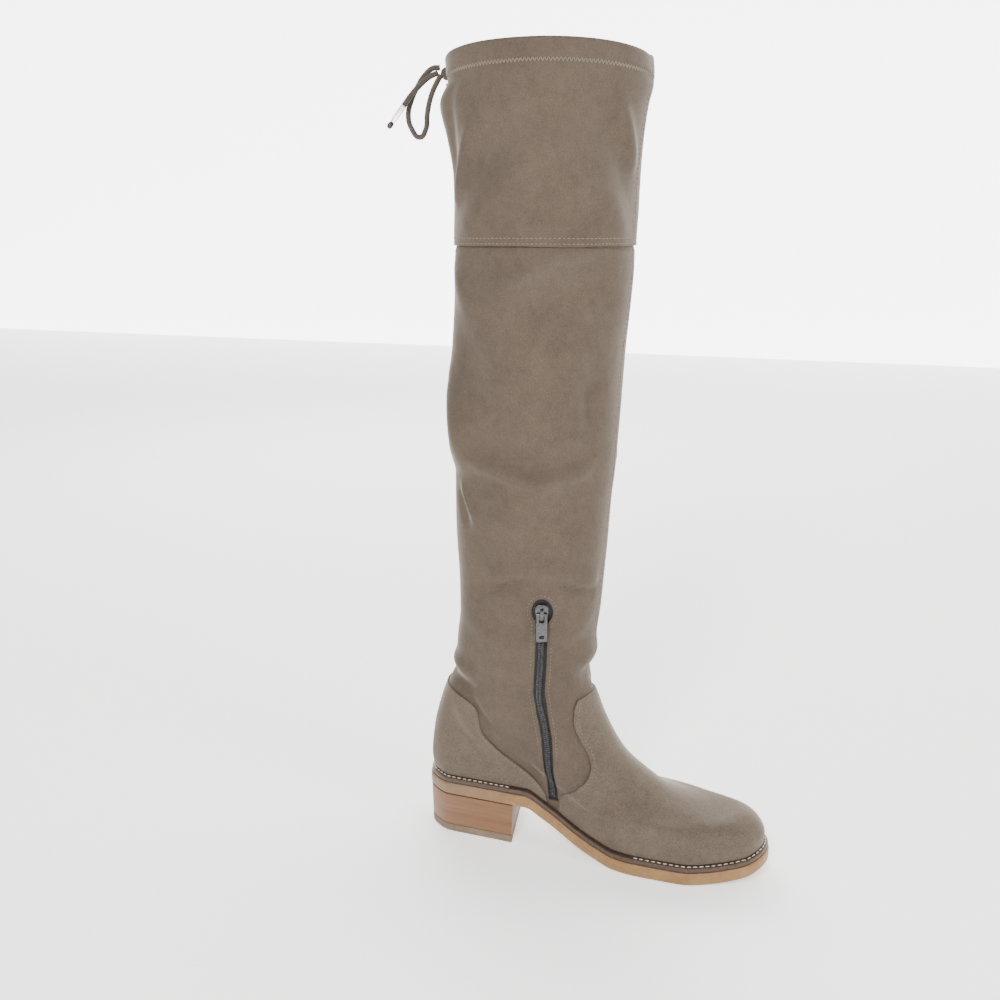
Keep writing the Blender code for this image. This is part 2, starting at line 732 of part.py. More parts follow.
def rounded(half_width, low, high, radius):
    """A rectangle from low to high with round corners, anticlockwise."""
    points = []
    corners = ((half_width, high, 0), (-half_width, high, 90),
               (-half_width, low, 180), (half_width, low, 270))
    for x, z, turn in corners:
        centre_x = x - math.copysign(radius, x)
        centre_z = z - radius if turn < 180 else z + radius
        for step in (0, 45, 90):
            angle = math.radians(turn + step)
            points.append((centre_x + radius * math.cos(angle),
                           centre_z + radius * math.sin(angle)))
    return points


def build_slider(frame):
    half = SLIDER_LENGTH / 2
    narrow = SLIDER_WIDTH * 0.36
    wide = SLIDER_WIDTH / 2
    outline = ((narrow, -half), (wide, half * 0.1), (wide, half * 0.7), (wide * 0.6, half),
               (-wide * 0.6, half), (-wide, half * 0.7), (-wide, half * 0.1), (-narrow, -half))
    slider = prism("zip_slider", outline, "Y", -SLIDER_PROUD, WALL * 0.6, frame, GUNMETAL)
    rise = PULL_METAL + 2 * PULL_PLAY
    sunk = PULL_PLAY / 2
    inner = half * 0.45
    outer = inner + BRIDGE_METAL
    arch = ((sunk, outer), (-rise - BRIDGE_METAL, inner), (-rise - BRIDGE_METAL, -inner),
            (sunk, -outer), (sunk, -inner), (-rise, -inner * 0.75), (-rise, inner * 0.75),
            (sunk, inner))
    arch = [(y - SLIDER_PROUD, z) for y, z in arch]
    bridge = prism("cutter_bridge", arch, "X", -BRIDGE_WIDTH / 2, BRIDGE_WIDTH / 2, frame)
    cut(slider, bridge, "UNION")


def pull_frame(frame):
    """The pull's own axis, along local X, under the slider's bridge."""
    out = SLIDER_PROUD + PULL_PLAY + PULL_METAL / 2
    return frame @ Matrix.Translation(Vector((0, -out, -PULL_PLAY)))


def build_pull(frame):
    """The pull tab: a bar under the bridge, a window about it and a plate."""
    radius = PULL_METAL / 2
    turns = [math.radians(angle) for angle in range(0, 181, 30)]
    section = [(radius * math.cos(turn), radius * math.sin(turn)) for turn in turns]
    section += [(-radius, radius - PULL_LENGTH), (radius, radius - PULL_LENGTH)]
    pull = prism("zip_pull", section, "X", -PULL_WIDTH / 2, PULL_WIDTH / 2, frame, GUNMETAL)
    far = PULL_METAL
    window_half = BRIDGE_WIDTH / 2 + 1.6 * PULL_PLAY
    window_low = -SLIDER_LENGTH / 2
    window = prism("cutter_window", rounded(window_half, window_low, -radius, 0.0005),
                   "Y", -far, far, frame)
    hole_low = radius - PULL_LENGTH + PULL_WIDTH * 0.3
    hole = prism("cutter_hole", rounded(PULL_WIDTH * 0.22, hole_low,
                                        hole_low + PULL_WIDTH * 0.3, 0.0004),
                 "Y", -far, far, frame)
    cut(pull, window, "DIFFERENCE")
    cut(pull, hole, "DIFFERENCE")


def build_zip():
    rings = zip_rings()
    behind = -WALL - GAP
    near = -BALL_WIDTH / 8
    build_layer("zip_tape", rings, behind - TAPE, behind,
                band_outline(ZIP_FOOT - SLOT_WIDTH / 3, ZIP_TOP + SLOT_HEAD, TAPE_WIDTH),
                near, TAPE_BLACK)
    build_layer("zip_chain", rings, -WALL, CHAIN_PROUD,
                band_outline(ZIP_FOOT + GAP, ZIP_TOP - SLIDER_LENGTH / 2 - GAP, CHAIN_WIDTH),
                near, GUNMETAL)
    frame = slider_frame()
    build_slider(frame)
    build_pull(pull_frame(frame))


def knot_place():
    """Middle of the drawstring's knot, on the hem band at the boot's back."""
    rings = np.linspace(LAST_RING - 2, LAST_RING, 400)
    back = skin(np.zeros(400), rings)
    height = back[-1, 2] - KNOT_BELOW_RIM
    x = np.interp(height, back[:, 2], back[:, 0])
    out = GAP + WALL + HEM_STEP + GAP + KNOT_DEPTH / 2
    return Vector((x - out, 0.0, height))


def build_knot(middle):
    """The bow's knot: a pillow with the bulges of the cord that wraps it."""
    shape = bmesh.new()
    bmesh.ops.create_uvsphere(shape, u_segments=14, v_segments=9, radius=0.5)
    for vert in shape.verts:
        x, y, z = vert.co
        bulge = 1 + KNOT_BULGE * math.cos(6 * math.pi * y)
        vert.co = (x * KNOT_DEPTH, y * KNOT_WIDTH, z * KNOT_HEIGHT * bulge)
    mesh = bpy.data.meshes.new("bow_knot")
    shape.to_mesh(mesh)
    shape.free()
    mesh.materials.append(material("bow_knot", CORD_BROWN))
    mesh.shade_smooth()
    knot = bpy.data.objects.new("bow_knot", mesh)
    knot.location = middle
    bpy.context.collection.objects.link(knot)


def build_cord(name, route, middle):
    curve = bpy.data.curves.new(name, "CURVE")
    curve.dimensions = "3D"
    curve.bevel_depth = CORD / 2
    curve.bevel_resolution = 2
    curve.use_fill_caps = True
    spline = curve.splines.new("POLY")
    spline.points.add(len(route) - 1)
    for point, place in zip(spline.points, route):
        point.co = (*(middle + Vector(place)), 1.0)
    curve.materials.append(material(name, CORD_BROWN))
    cord = bpy.data.objects.new(name, curve)
    bpy.context.collection.objects.link(cord)


def build_tip(name, route, middle):
    """Aglet and bead on a cord's end, turned about the cord's direction."""
    ahead = (Vector(route[-1]) - Vector(route[-2])).normalized()
    radius = CORD / 2
    bead = AGLET_LENGTH + BEAD_LENGTH
    profile = ((radius, 0.0), (radius, AGLET_LENGTH * 0.8), (radius * 0.6, AGLET_LENGTH),
               (radius * 1.05, AGLET_LENGTH + BEAD_LENGTH * 0.3),
               (radius * 1.05, bead - BEAD_LENGTH * 0.3), (radius * 0.5, bead))
    sides = 10
    points = []
    for reach, along in profile:
        for i in range(sides):
            turn = 2 * math.pi * i / sides
            points.append((reach * math.cos(turn), reach * math.sin(turn), along))
    faces = [tuple(reversed(range(sides)))]
    for ring in range(len(profile) - 1):
        for i in range(sides):
            j = (i + 1) % sides
            low, high = ring * sides, (ring + 1) * sides
            faces.append((low + i, low + j, high + j, high + i))
    last = (len(profile) - 1) * sides
    faces.append(tuple(range(last, last + sides)))
    tip = add_mesh(name, points, faces, CORD_BROWN, 50.0)
    tip.location = middle + Vector(route[-1]) + ahead * GAP
    tip.rotation_euler = ahead.to_track_quat("Z", "Y").to_euler()


def build_bow():
    middle = knot_place()
    build_knot(middle)
    build_cord("bow_loop_medial", LOOP_MEDIAL, middle)
    build_cord("bow_loop_lateral", LOOP_LATERAL, middle)
    for side, route in (("medial", END_MEDIAL), ("lateral", END_LATERAL)):
        build_cord("bow_end_" + side, route, middle)
        build_tip("cord_tip_" + side, route, middle)


def clear_scene():
    for old in list(bpy.data.objects):
        bpy.data.objects.remove(old, do_unlink=True)


def build_boot():
    clear_scene()
    build_outsole()
    build_heel()
    build_welt()
    build_insole()
    build_upper()
    build_thigh_panel()
    build_overlays()
    build_zip()
    build_bow()


build_boot()
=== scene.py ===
"""Looks of the thigh high boot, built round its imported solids."""
import math

import bpy
import numpy as np
from mathutils import Matrix, Vector


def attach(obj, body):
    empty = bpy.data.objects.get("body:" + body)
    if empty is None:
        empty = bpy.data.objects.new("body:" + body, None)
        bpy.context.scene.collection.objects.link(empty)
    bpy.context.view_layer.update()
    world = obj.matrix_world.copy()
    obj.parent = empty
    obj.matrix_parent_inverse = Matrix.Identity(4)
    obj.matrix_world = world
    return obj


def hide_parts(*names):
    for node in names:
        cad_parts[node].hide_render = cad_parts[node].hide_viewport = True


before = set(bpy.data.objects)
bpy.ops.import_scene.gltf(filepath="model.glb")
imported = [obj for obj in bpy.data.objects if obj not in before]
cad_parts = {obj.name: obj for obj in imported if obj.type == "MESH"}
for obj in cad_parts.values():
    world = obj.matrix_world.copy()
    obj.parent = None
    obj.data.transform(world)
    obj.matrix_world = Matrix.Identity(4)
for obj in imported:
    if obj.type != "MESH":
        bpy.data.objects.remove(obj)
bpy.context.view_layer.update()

# Driving sizes of the sole
LENGTH = 0.272
BALL_WIDTH = 0.095
HEEL_HEIGHT = 0.0325
HEEL_LENGTH = 0.080
OUTSOLE = 0.0095
TOE_SPRING = 0.011
WELT = 0.004
WELT_SHELF = 0.005
INSOLE = 0.003
INSOLE_PLAY = 0.001
INSOLE_LIFT = 0.0009

# Driving sizes of the upper
BOOT_HEIGHT = 0.5866
RIM_CROWN = 0.006
ANKLE_RISE = 0.096
COLLAR_DEPTH = 0.138
COLLAR_WIDTH = 0.120
SHAFT_MIDDLE = 0.0915
WALL = 0.0018
OVERLAY = 0.0012
OVERLAY_START = 0.25
KNEE_SEAM = 0.736
SEAM_LAP = 0.008
HEM_HEIGHT = 0.013
HEM_STEP = 0.001
GAP = 0.0003

# Driving sizes of the zip, whose heights are measured from the ground
ZIP_FOOT = 0.0415
ZIP_TOP = 0.198
SLOT_WIDTH = 0.0085
SLOT_HEAD_WIDTH = 0.015
SLOT_HEAD = 0.020
SLIDER_LENGTH = 0.0125

# Driving sizes of the drawstring
CORD = 0.0038
KNOT_WIDTH = 0.0105
KNOT_DEPTH = 0.0085
KNOT_HEIGHT = 0.0095
KNOT_BELOW_RIM = 0.0055
AGLET_LENGTH = 0.014
BEAD_LENGTH = 0.005

# Middle and back end of the heel
HEEL_CENTRE = HEEL_LENGTH / 2
HEEL_BACK = -HEEL_CENTRE

# Sole outline, half widths as shares of the ball width
OUTLINE_COLUMNS = ("share", "medial", "lateral")
OUTLINE = (
    (0.00, 0.000, 0.000),
    (0.03, 0.222, 0.222),
    (0.10, 0.328, 0.328),
    (0.25, 0.325, 0.345),
    (0.40, 0.325, 0.410),
    (0.55, 0.385, 0.510),
    (0.66, 0.440, 0.540),
    (0.78, 0.430, 0.500),
    (0.885, 0.345, 0.405),
    (0.96, 0.255, 0.275),
    (1.00, 0.000, 0.000),
)

# Underside of the outsole, as shares of the heel height and of the toe spring
SOLE_COLUMNS = ("share", "heel", "toe")
SOLE_LINE = (
    (0.00, 1.00, 0.00),
    (0.33, 1.00, 0.00),
    (0.38, 0.80, 0.00),
    (0.43, 0.56, 0.00),
    (0.48, 0.33, 0.00),
    (0.54, 0.13, 0.00),
    (0.60, 0.00, 0.00),
    (0.79, 0.00, 0.00),
    (0.86, 0.00, 0.13),
    (0.93, 0.00, 0.48),
    (1.00, 0.00, 1.00),
)

# Rings of the foot from the feather line to the ankle. The back and front
# points are shares of the length and of the ankle rise above the welt, half
# widths are shares of the ball width, sole tells how much a ring follows the
# sole's outline, fill scales that outline and level straightens the ring.
FOOT_COLUMNS = ("back_in", "back_up", "front_in", "front_up", "medial", "lateral",
                "widest", "back_round", "front_round", "sole", "fill", "level")
FOOT = (
    (0.0195, 0.000, 0.9805, 0.000, 0.320, 0.320, 0.30, 2.1, 2.0, 1.00, 1.00, 0.00),
    (0.0120, 0.060, 0.9810, 0.080, 0.325, 0.325, 0.30, 2.1, 2.0, 1.00, 1.03, 0.00),
    (0.0095, 0.125, 0.9640, 0.185, 0.330, 0.330, 0.30, 2.1, 2.0, 0.96, 1.04, 0.02),
    (0.0105, 0.190, 0.9190, 0.268, 0.338, 0.338, 0.31, 2.1, 2.0, 0.86, 1.03, 0.06),
    (0.0130, 0.255, 0.8330, 0.292, 0.345, 0.345, 0.33, 2.1, 2.0, 0.72, 1.01, 0.12),
    (0.0165, 0.325, 0.7380, 0.354, 0.350, 0.350, 0.36, 2.1, 2.0, 0.56, 0.98, 0.20),
    (0.0215, 0.410, 0.6520, 0.495, 0.360, 0.360, 0.39, 2.1, 2.0, 0.40, 0.95, 0.31),
    (0.0315, 0.520, 0.5850, 0.640, 0.376, 0.376, 0.42, 2.1, 2.0, 0.26, 0.93, 0.46),
    (0.0475, 0.665, 0.5360, 0.810, 0.397, 0.397, 0.45, 2.1, 2.0, 0.14, 0.91, 0.64),
    (0.0700, 0.832, 0.5030, 0.990, 0.420, 0.420, 0.47, 2.1, 2.0, 0.05, 0.90, 0.83),
)

# Rings of the shaft from the ankle to the rim. Heights are shares of the shaft
# rise, back and front are distances from the shaft's middle as shares of the
# collar's depth, half widths are shares of the collar's width.
SHAFT_COLUMNS = ("rise", "back", "front", "medial", "lateral", "crown")
SHAFT = (
    (0.0000, 0.487, 0.290, 0.350, 0.350, 0.00),
    (0.0443, 0.480, 0.299, 0.358, 0.358, 0.00),
    (0.0968, 0.465, 0.317, 0.371, 0.371, 0.00),
    (0.1540, 0.466, 0.337, 0.383, 0.383, 0.00),
    (0.2338, 0.477, 0.363, 0.396, 0.396, 0.00),
    (0.3137, 0.482, 0.375, 0.408, 0.408, 0.00),
    (0.3433, 0.482, 0.383, 0.413, 0.413, 0.00),
    (0.3936, 0.520, 0.395, 0.421, 0.421, 0.00),
    (0.4735, 0.504, 0.417, 0.429, 0.429, 0.00),
    (0.5534, 0.490, 0.433, 0.442, 0.442, 0.00),
    (0.6333, 0.470, 0.453, 0.454, 0.454, 0.00),
    (0.6904, 0.462, 0.464, 0.463, 0.463, 0.00),
    (0.7361, 0.459, 0.465, 0.471, 0.471, 0.00),
    (0.7817, 0.449, 0.465, 0.477, 0.477, 0.08),
    (0.8274, 0.453, 0.469, 0.483, 0.483, 0.20),
    (0.8845, 0.482, 0.482, 0.492, 0.492, 0.50),
    (0.9301, 0.518, 0.501, 0.496, 0.496, 0.80),
    (0.9600, 0.475, 0.521, 0.500, 0.500, 1.00),
    (0.9850, 0.478, 0.512, 0.500, 0.500, 1.00),
    (1.0000, 0.486, 0.507, 0.500, 0.500, 1.00),
)

# Edges seen from the side: heights as shares of the ankle rise above the seat,
# places as shares of the length from the heel's back
EDGE_COLUMNS = ("up", "along")
VAMP_EDGE = (
    (-0.300, 0.424),
    (-0.050, 0.430),
    (0.052, 0.436),
    (0.125, 0.467),
    (0.208, 0.507),
    (0.323, 0.522),
    (0.427, 0.511),
    (0.552, 0.485),
    (0.698, 0.467),
    (0.802, 0.467),
    (0.865, 0.474),
    (0.896, 0.487),
    (0.910, 0.530),
)
COUNTER_EDGE = (
    (-0.040, 0.394),
    (0.040, 0.388),
    (0.146, 0.360),
    (0.250, 0.309),
    (0.354, 0.250),
    (0.520, 0.199),
    (0.698, 0.184),
    (0.780, 0.150),
    (0.812, 0.107),
    (0.828, 0.060),
)
ZIP_LINE = (
    (0.00, 0.412),
    (0.20, 0.403),
    (0.40, 0.393),
    (0.55, 0.377),
    (0.75, 0.384),
    (1.00, 0.390),
)

# Drawstring routes as distances from the knot's middle: forward, to the outer
# side and up
LOOP_MEDIAL = (
    (-0.0058, -0.0001, 0.0045),
    (-0.0103, -0.0023, 0.0040),
    (-0.0154, -0.0055, -0.0010),
    (-0.0198, -0.0086, -0.0090),
    (-0.0233, -0.0117, -0.0185),
    (-0.0247, -0.0139, -0.0285),
    (-0.0222, -0.0139, -0.0375),
    (-0.0169, -0.0117, -0.0432),
    (-0.0129, -0.0104, -0.0380),
    (-0.0113, -0.0106, -0.0270),
    (-0.0085, -0.0100, -0.0155),
    (-0.0048, -0.0083, -0.0065),
    (-0.0024, -0.0062, -0.0016),
)
END_MEDIAL = (
    (-0.0057, -0.0038, 0.0006),
    (-0.0113, -0.0068, -0.0024),
    (-0.0164, -0.0118, -0.0083),
    (-0.0209, -0.0169, -0.0152),
    (-0.0248, -0.0211, -0.0226),
)
LOOP_LATERAL = (
    (0.0005, 0.0068, 0.0022),
    (0.0020, 0.0140, 0.0015),
    (0.0045, 0.0230, -0.0030),
    (0.0085, 0.0310, -0.0115),
    (0.0095, 0.0372, -0.0220),
    (0.0088, 0.0378, -0.0320),
    (0.0070, 0.0315, -0.0395),
    (0.0032, 0.0262, -0.0370),
    (0.0012, 0.0232, -0.0280),
    (0.0022, 0.0205, -0.0180),
    (0.0008, 0.0160, -0.0095),
    (-0.0012, 0.0088, -0.0040),
)
END_LATERAL = (
    (-0.0012, 0.0034, -0.0062),
    (0.0005, 0.0095, -0.0140),
    (-0.0014, 0.0128, -0.0240),
    (0.0006, 0.0145, -0.0340),
    (0.0016, 0.0150, -0.0440),
)

def smooth(xs, ys, at):
    """Monotone cubic through the points (xs, ys), read at the given places."""
    xs = np.asarray(xs, float)
    ys = np.asarray(ys, float)
    step = np.diff(xs)
    slope = np.diff(ys) / step
    tangent = np.zeros_like(ys)
    tangent[0] = slope[0]
    tangent[-1] = slope[-1]
    same = slope[1:] * slope[:-1] > 0
    total = np.where(same, slope[1:] + slope[:-1], 1.0)
    tangent[1:-1] = np.where(same, 2 * slope[1:] * slope[:-1] / total, 0.0)
    i = np.clip(np.searchsorted(xs, at, side="right") - 1, 0, len(xs) - 2)
    u = (at - xs[i]) / step[i]
    start = (2 * u**3 - 3 * u**2 + 1) * ys[i] + (u**3 - 2 * u**2 + u) * step[i] * tangent[i]
    end = (3 * u**2 - 2 * u**3) * ys[i + 1] + (u**3 - u**2) * step[i] * tangent[i + 1]
    return start + end


def column(table, names, name):
    return np.array([row[names.index(name)] for row in table])


def sole_half_width(share, side):
    """Half width of the sole at a share of its length, round at both ends."""
    widths = column(OUTLINE, OUTLINE_COLUMNS, side) * BALL_WIDTH
    places = column(OUTLINE, OUTLINE_COLUMNS, "share")
    return np.sqrt(np.clip(smooth(places, widths**2, share), 0.0, None))


def sole_path(angle):
    """Outline of the sole seen from above: 0 is the heel's back, pi the toe."""
    share = (1 - np.cos(angle)) / 2
    medial = np.sin(angle) >= 0
    y = np.where(medial, -sole_half_width(share, "medial"), sole_half_width(share, "lateral"))
    return np.stack([HEEL_BACK + share * LENGTH, y], axis=-1)


def sole_edge(angle, inset=0.0):
    """The sole's outline moved inwards by an inset."""
    small = 1e-3
    ahead = sole_path(angle + small) - sole_path(angle - small)
    ahead /= np.linalg.norm(ahead, axis=-1, keepdims=True)
    outward = np.stack([ahead[..., 1], -ahead[..., 0]], axis=-1)
    return sole_path(angle) - outward * inset


def sole_under(x):
    """Height of the outsole's underside."""
    share = np.clip((x - HEEL_BACK) / LENGTH, 0.0, 1.0)
    places = column(SOLE_LINE, SOLE_COLUMNS, "share")
    heights = (column(SOLE_LINE, SOLE_COLUMNS, "heel") * HEEL_HEIGHT
               + column(SOLE_LINE, SOLE_COLUMNS, "toe") * TOE_SPRING)
    return smooth(places, heights, share)


def sole_top(x):
    """Height of the outsole's upper face."""
    return sole_under(x) + OUTSOLE


FEATHER_INSET = WELT_SHELF + GAP
WELT_TOP = GAP + WELT + GAP
ANKLE_HEIGHT = HEEL_HEIGHT + OUTSOLE + WELT_TOP + ANKLE_RISE
SHAFT_RISE = BOOT_HEIGHT - RIM_CROWN - ANKLE_HEIGHT
SHAFT_X = HEEL_BACK + SHAFT_MIDDLE


def ring_table():
    """Every ring's real sizes, one array for each quantity, feather to rim."""
    foot = {name: column(FOOT, FOOT_COLUMNS, name) for name in FOOT_COLUMNS}
    shaft = {name: column(SHAFT, SHAFT_COLUMNS, name) for name in SHAFT_COLUMNS}
    back_x = HEEL_BACK + foot["back_in"] * LENGTH
    front_x = HEEL_BACK + foot["front_in"] * LENGTH
    back_up = WELT_TOP + foot["back_up"] * ANKLE_RISE
    front_up = WELT_TOP + foot["front_up"] * ANKLE_RISE
    shaft_back = SHAFT_X - shaft["back"] * COLLAR_DEPTH
    shaft_front = SHAFT_X + shaft["front"] * COLLAR_DEPTH
    shaft_z = ANKLE_HEIGHT + shaft["rise"] * SHAFT_RISE
    feather = sole_edge(np.array([0.0, math.pi]), FEATHER_INSET)[:, 0]
    one = np.ones(len(SHAFT))

    def join(first, foot_values, shaft_values):
        return np.concatenate([[first], foot_values, shaft_values])

    return {
        "back_x": join(feather[0], back_x, shaft_back),
        "front_x": join(feather[1], front_x, shaft_front),
        "back_up": join(2 * GAP, back_up, shaft_z - sole_top(shaft_back)),
        "front_up": join(2 * GAP, front_up, shaft_z - sole_top(shaft_front)),
        "medial": join(0.3 * BALL_WIDTH, foot["medial"] * BALL_WIDTH,
                       shaft["medial"] * COLLAR_WIDTH),
        "lateral": join(0.3 * BALL_WIDTH, foot["lateral"] * BALL_WIDTH,
                        shaft["lateral"] * COLLAR_WIDTH),
        "widest": join(0.30, foot["widest"], 0.5 * one),
        "back_round": join(2.1, foot["back_round"], 2.1 * one),
        "front_round": join(2.0, foot["front_round"], 2.1 * one),
        "sole": join(1.0, foot["sole"], 0 * one),
        "fill": join(1.0, foot["fill"], 0.9 * one),
        "level": join(0.0, foot["level"], one),
        "crown": join(0.0, 0 * foot["level"], shaft["crown"] * RIM_CROWN),
    }


RINGS = ring_table()
FIRST_SHAFT_RING = len(FOOT) + 1
LAST_RING = FIRST_SHAFT_RING + len(SHAFT) - 1


def skin(angle, ring):
    """Point on the boot's outer skin: angle runs round it, ring runs up it."""
    at = {name: smooth(np.arange(LAST_RING + 1), values, ring) for name, values in RINGS.items()}
    plan = sole_edge(angle, FEATHER_INSET)
    start, end = sole_edge(np.array([0.0, math.pi]), FEATHER_INSET)[:, 0]
    sole_share = (plan[..., 0] - start) / (end - start)
    cos, sin = np.cos(angle), np.sin(angle)
    rearward = cos > 0
    power = 2 / np.where(rearward, at["back_round"], at["front_round"])
    reach = np.abs(cos) ** power
    oval_share = np.where(rearward, at["widest"] * (1 - reach),
                          at["widest"] + (1 - at["widest"]) * reach)
    half = np.where(sin >= 0, -at["medial"], at["lateral"])
    share = at["sole"] * sole_share + (1 - at["sole"]) * oval_share
    y = at["sole"] * at["fill"] * plan[..., 1] + (1 - at["sole"]) * half * np.abs(sin) ** power
    x = at["back_x"] + (at["front_x"] - at["back_x"]) * share
    back_z = sole_top(at["back_x"]) + at["back_up"]
    front_z = sole_top(at["front_x"]) + at["front_up"]
    straight = back_z + (front_z - back_z) * share
    curved = sole_top(x) + at["back_up"] + (at["front_up"] - at["back_up"]) * share
    z = at["level"] * straight + (1 - at["level"]) * curved + at["crown"] * np.abs(sin)
    return np.stack([x, y, z], axis=-1)


def skin_out(angle, ring, out):
    """The skin moved outwards along its normal."""
    small = 1e-3
    low = np.clip(ring - small, 0, LAST_RING)
    high = np.clip(ring + small, 0, LAST_RING)
    along = skin(angle + small, ring) - skin(angle - small, ring)
    up = skin(angle, high) - skin(angle, low)
    normal = np.cross(along, up)
    normal /= np.linalg.norm(normal, axis=-1, keepdims=True)
    return skin(angle, ring) + normal * np.expand_dims(out, -1)


def shaft_ring(share):
    """Ring at a share of the shaft's rise, which may lie between two rings."""
    rises = column(SHAFT, SHAFT_COLUMNS, "rise")
    return FIRST_SHAFT_RING + float(np.interp(share, rises, np.arange(len(rises))))


def knee_ring():
    return round(shaft_ring(KNEE_SEAM))


def zip_points(low, high, steps=9):
    """The zip's middle line seen from the side, from low to high."""
    z = np.linspace(low, high, steps)
    share = (z - ZIP_FOOT) / (ZIP_TOP - ZIP_FOOT)
    places = column(ZIP_LINE, EDGE_COLUMNS, "up")
    along = smooth(places, column(ZIP_LINE, EDGE_COLUMNS, "along"), np.clip(share, 0, 1))
    return np.column_stack([HEEL_BACK + along * LENGTH, z])


def slot_outline():
    """The zip's opening, with its wide round head about the slider."""
    head_low = ZIP_TOP - SLOT_HEAD / 2
    middle = zip_points(ZIP_FOOT, head_low)
    head_x, _ = zip_points(ZIP_TOP, ZIP_TOP, 1)[0]
    side = np.array([SLOT_WIDTH / 2, 0.0])
    arc = np.linspace(-0.9, math.pi + 0.9, 15)
    centre = np.array([head_x, ZIP_TOP])
    head = centre + np.column_stack([np.cos(arc) * SLOT_HEAD_WIDTH / 2,
                                     np.sin(arc) * SLOT_HEAD / 2])
    outline = list(middle + side) + list(head) + list((middle - side)[::-1])
    return [tuple(point) for point in outline]


def edge_outline(table):
    """Side view points (x, z) of an overlay's edge, from the bottom up."""
    seat = HEEL_HEIGHT + OUTSOLE
    ups = np.linspace(table[0][0], table[-1][0], 22)
    along = smooth(column(table, EDGE_COLUMNS, "up"), column(table, EDGE_COLUMNS, "along"), ups)
    return [(HEEL_BACK + a * LENGTH, seat + u * ANKLE_RISE) for a, u in zip(along, ups)]


def knot_place():
    """Middle of the drawstring's knot, on the hem band at the boot's back."""
    rings = np.linspace(LAST_RING - 2, LAST_RING, 400)
    back = skin(np.zeros(400), rings)
    height = back[-1, 2] - KNOT_BELOW_RIM
    x = np.interp(height, back[:, 2], back[:, 0])
    out = GAP + WALL + HEM_STEP + GAP + KNOT_DEPTH / 2
    return Vector((x - out, 0.0, height))


def shade(obj, *materials):
    obj.data.materials.clear()
    for made in materials:
        obj.data.materials.append(made)


def deselect():
    bpy.ops.object.select_all(action="DESELECT")


def finish_modifier(obj, kind, **settings):
    """A modifier added, set and applied."""
    modifier = obj.modifiers.new(kind.title(), kind)
    for name, value in settings.items():
        setattr(modifier, name, value)
    deselect()
    obj.select_set(True)
    bpy.context.view_layer.objects.active = obj
    bpy.ops.object.modifier_apply(modifier=modifier.name)


def merge(obj, distance=1e-6):
    deselect()
    obj.select_set(True)
    bpy.context.view_layer.objects.active = obj
    bpy.ops.object.mode_set(mode="EDIT")
    bpy.ops.mesh.select_all(action="SELECT")
    bpy.ops.mesh.remove_doubles(threshold=distance)
    bpy.ops.object.mode_set(mode="OBJECT")


def smooth_shade(obj, degrees=35.0):
    deselect()
    obj.select_set(True)
    bpy.context.view_layer.objects.active = obj
    bpy.ops.object.shade_smooth_by_angle(angle=math.radians(degrees))


def sheet(name, across, rows):
    """A flat grid, and how far each point lies across it and up it, from 0 to 1."""
    deselect()
    bpy.ops.mesh.primitive_grid_add(x_subdivisions=across, y_subdivisions=rows, size=2.0)
    made = bpy.context.active_object
    made.name = name
    flat = np.zeros(len(made.data.vertices) * 3)
    made.data.vertices.foreach_get("co", flat)
    flat = flat.reshape(-1, 3)
    return made, (flat[:, 0] + 1) / 2, (flat[:, 1] + 1) / 2


def place_points(obj, points):
    obj.data.vertices.foreach_set("co", np.asarray(points, float).ravel())
    obj.data.update()


def ride_on(obj, body, slot, *nodes):
    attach(obj, body)
    if nodes:
        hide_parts(*nodes)


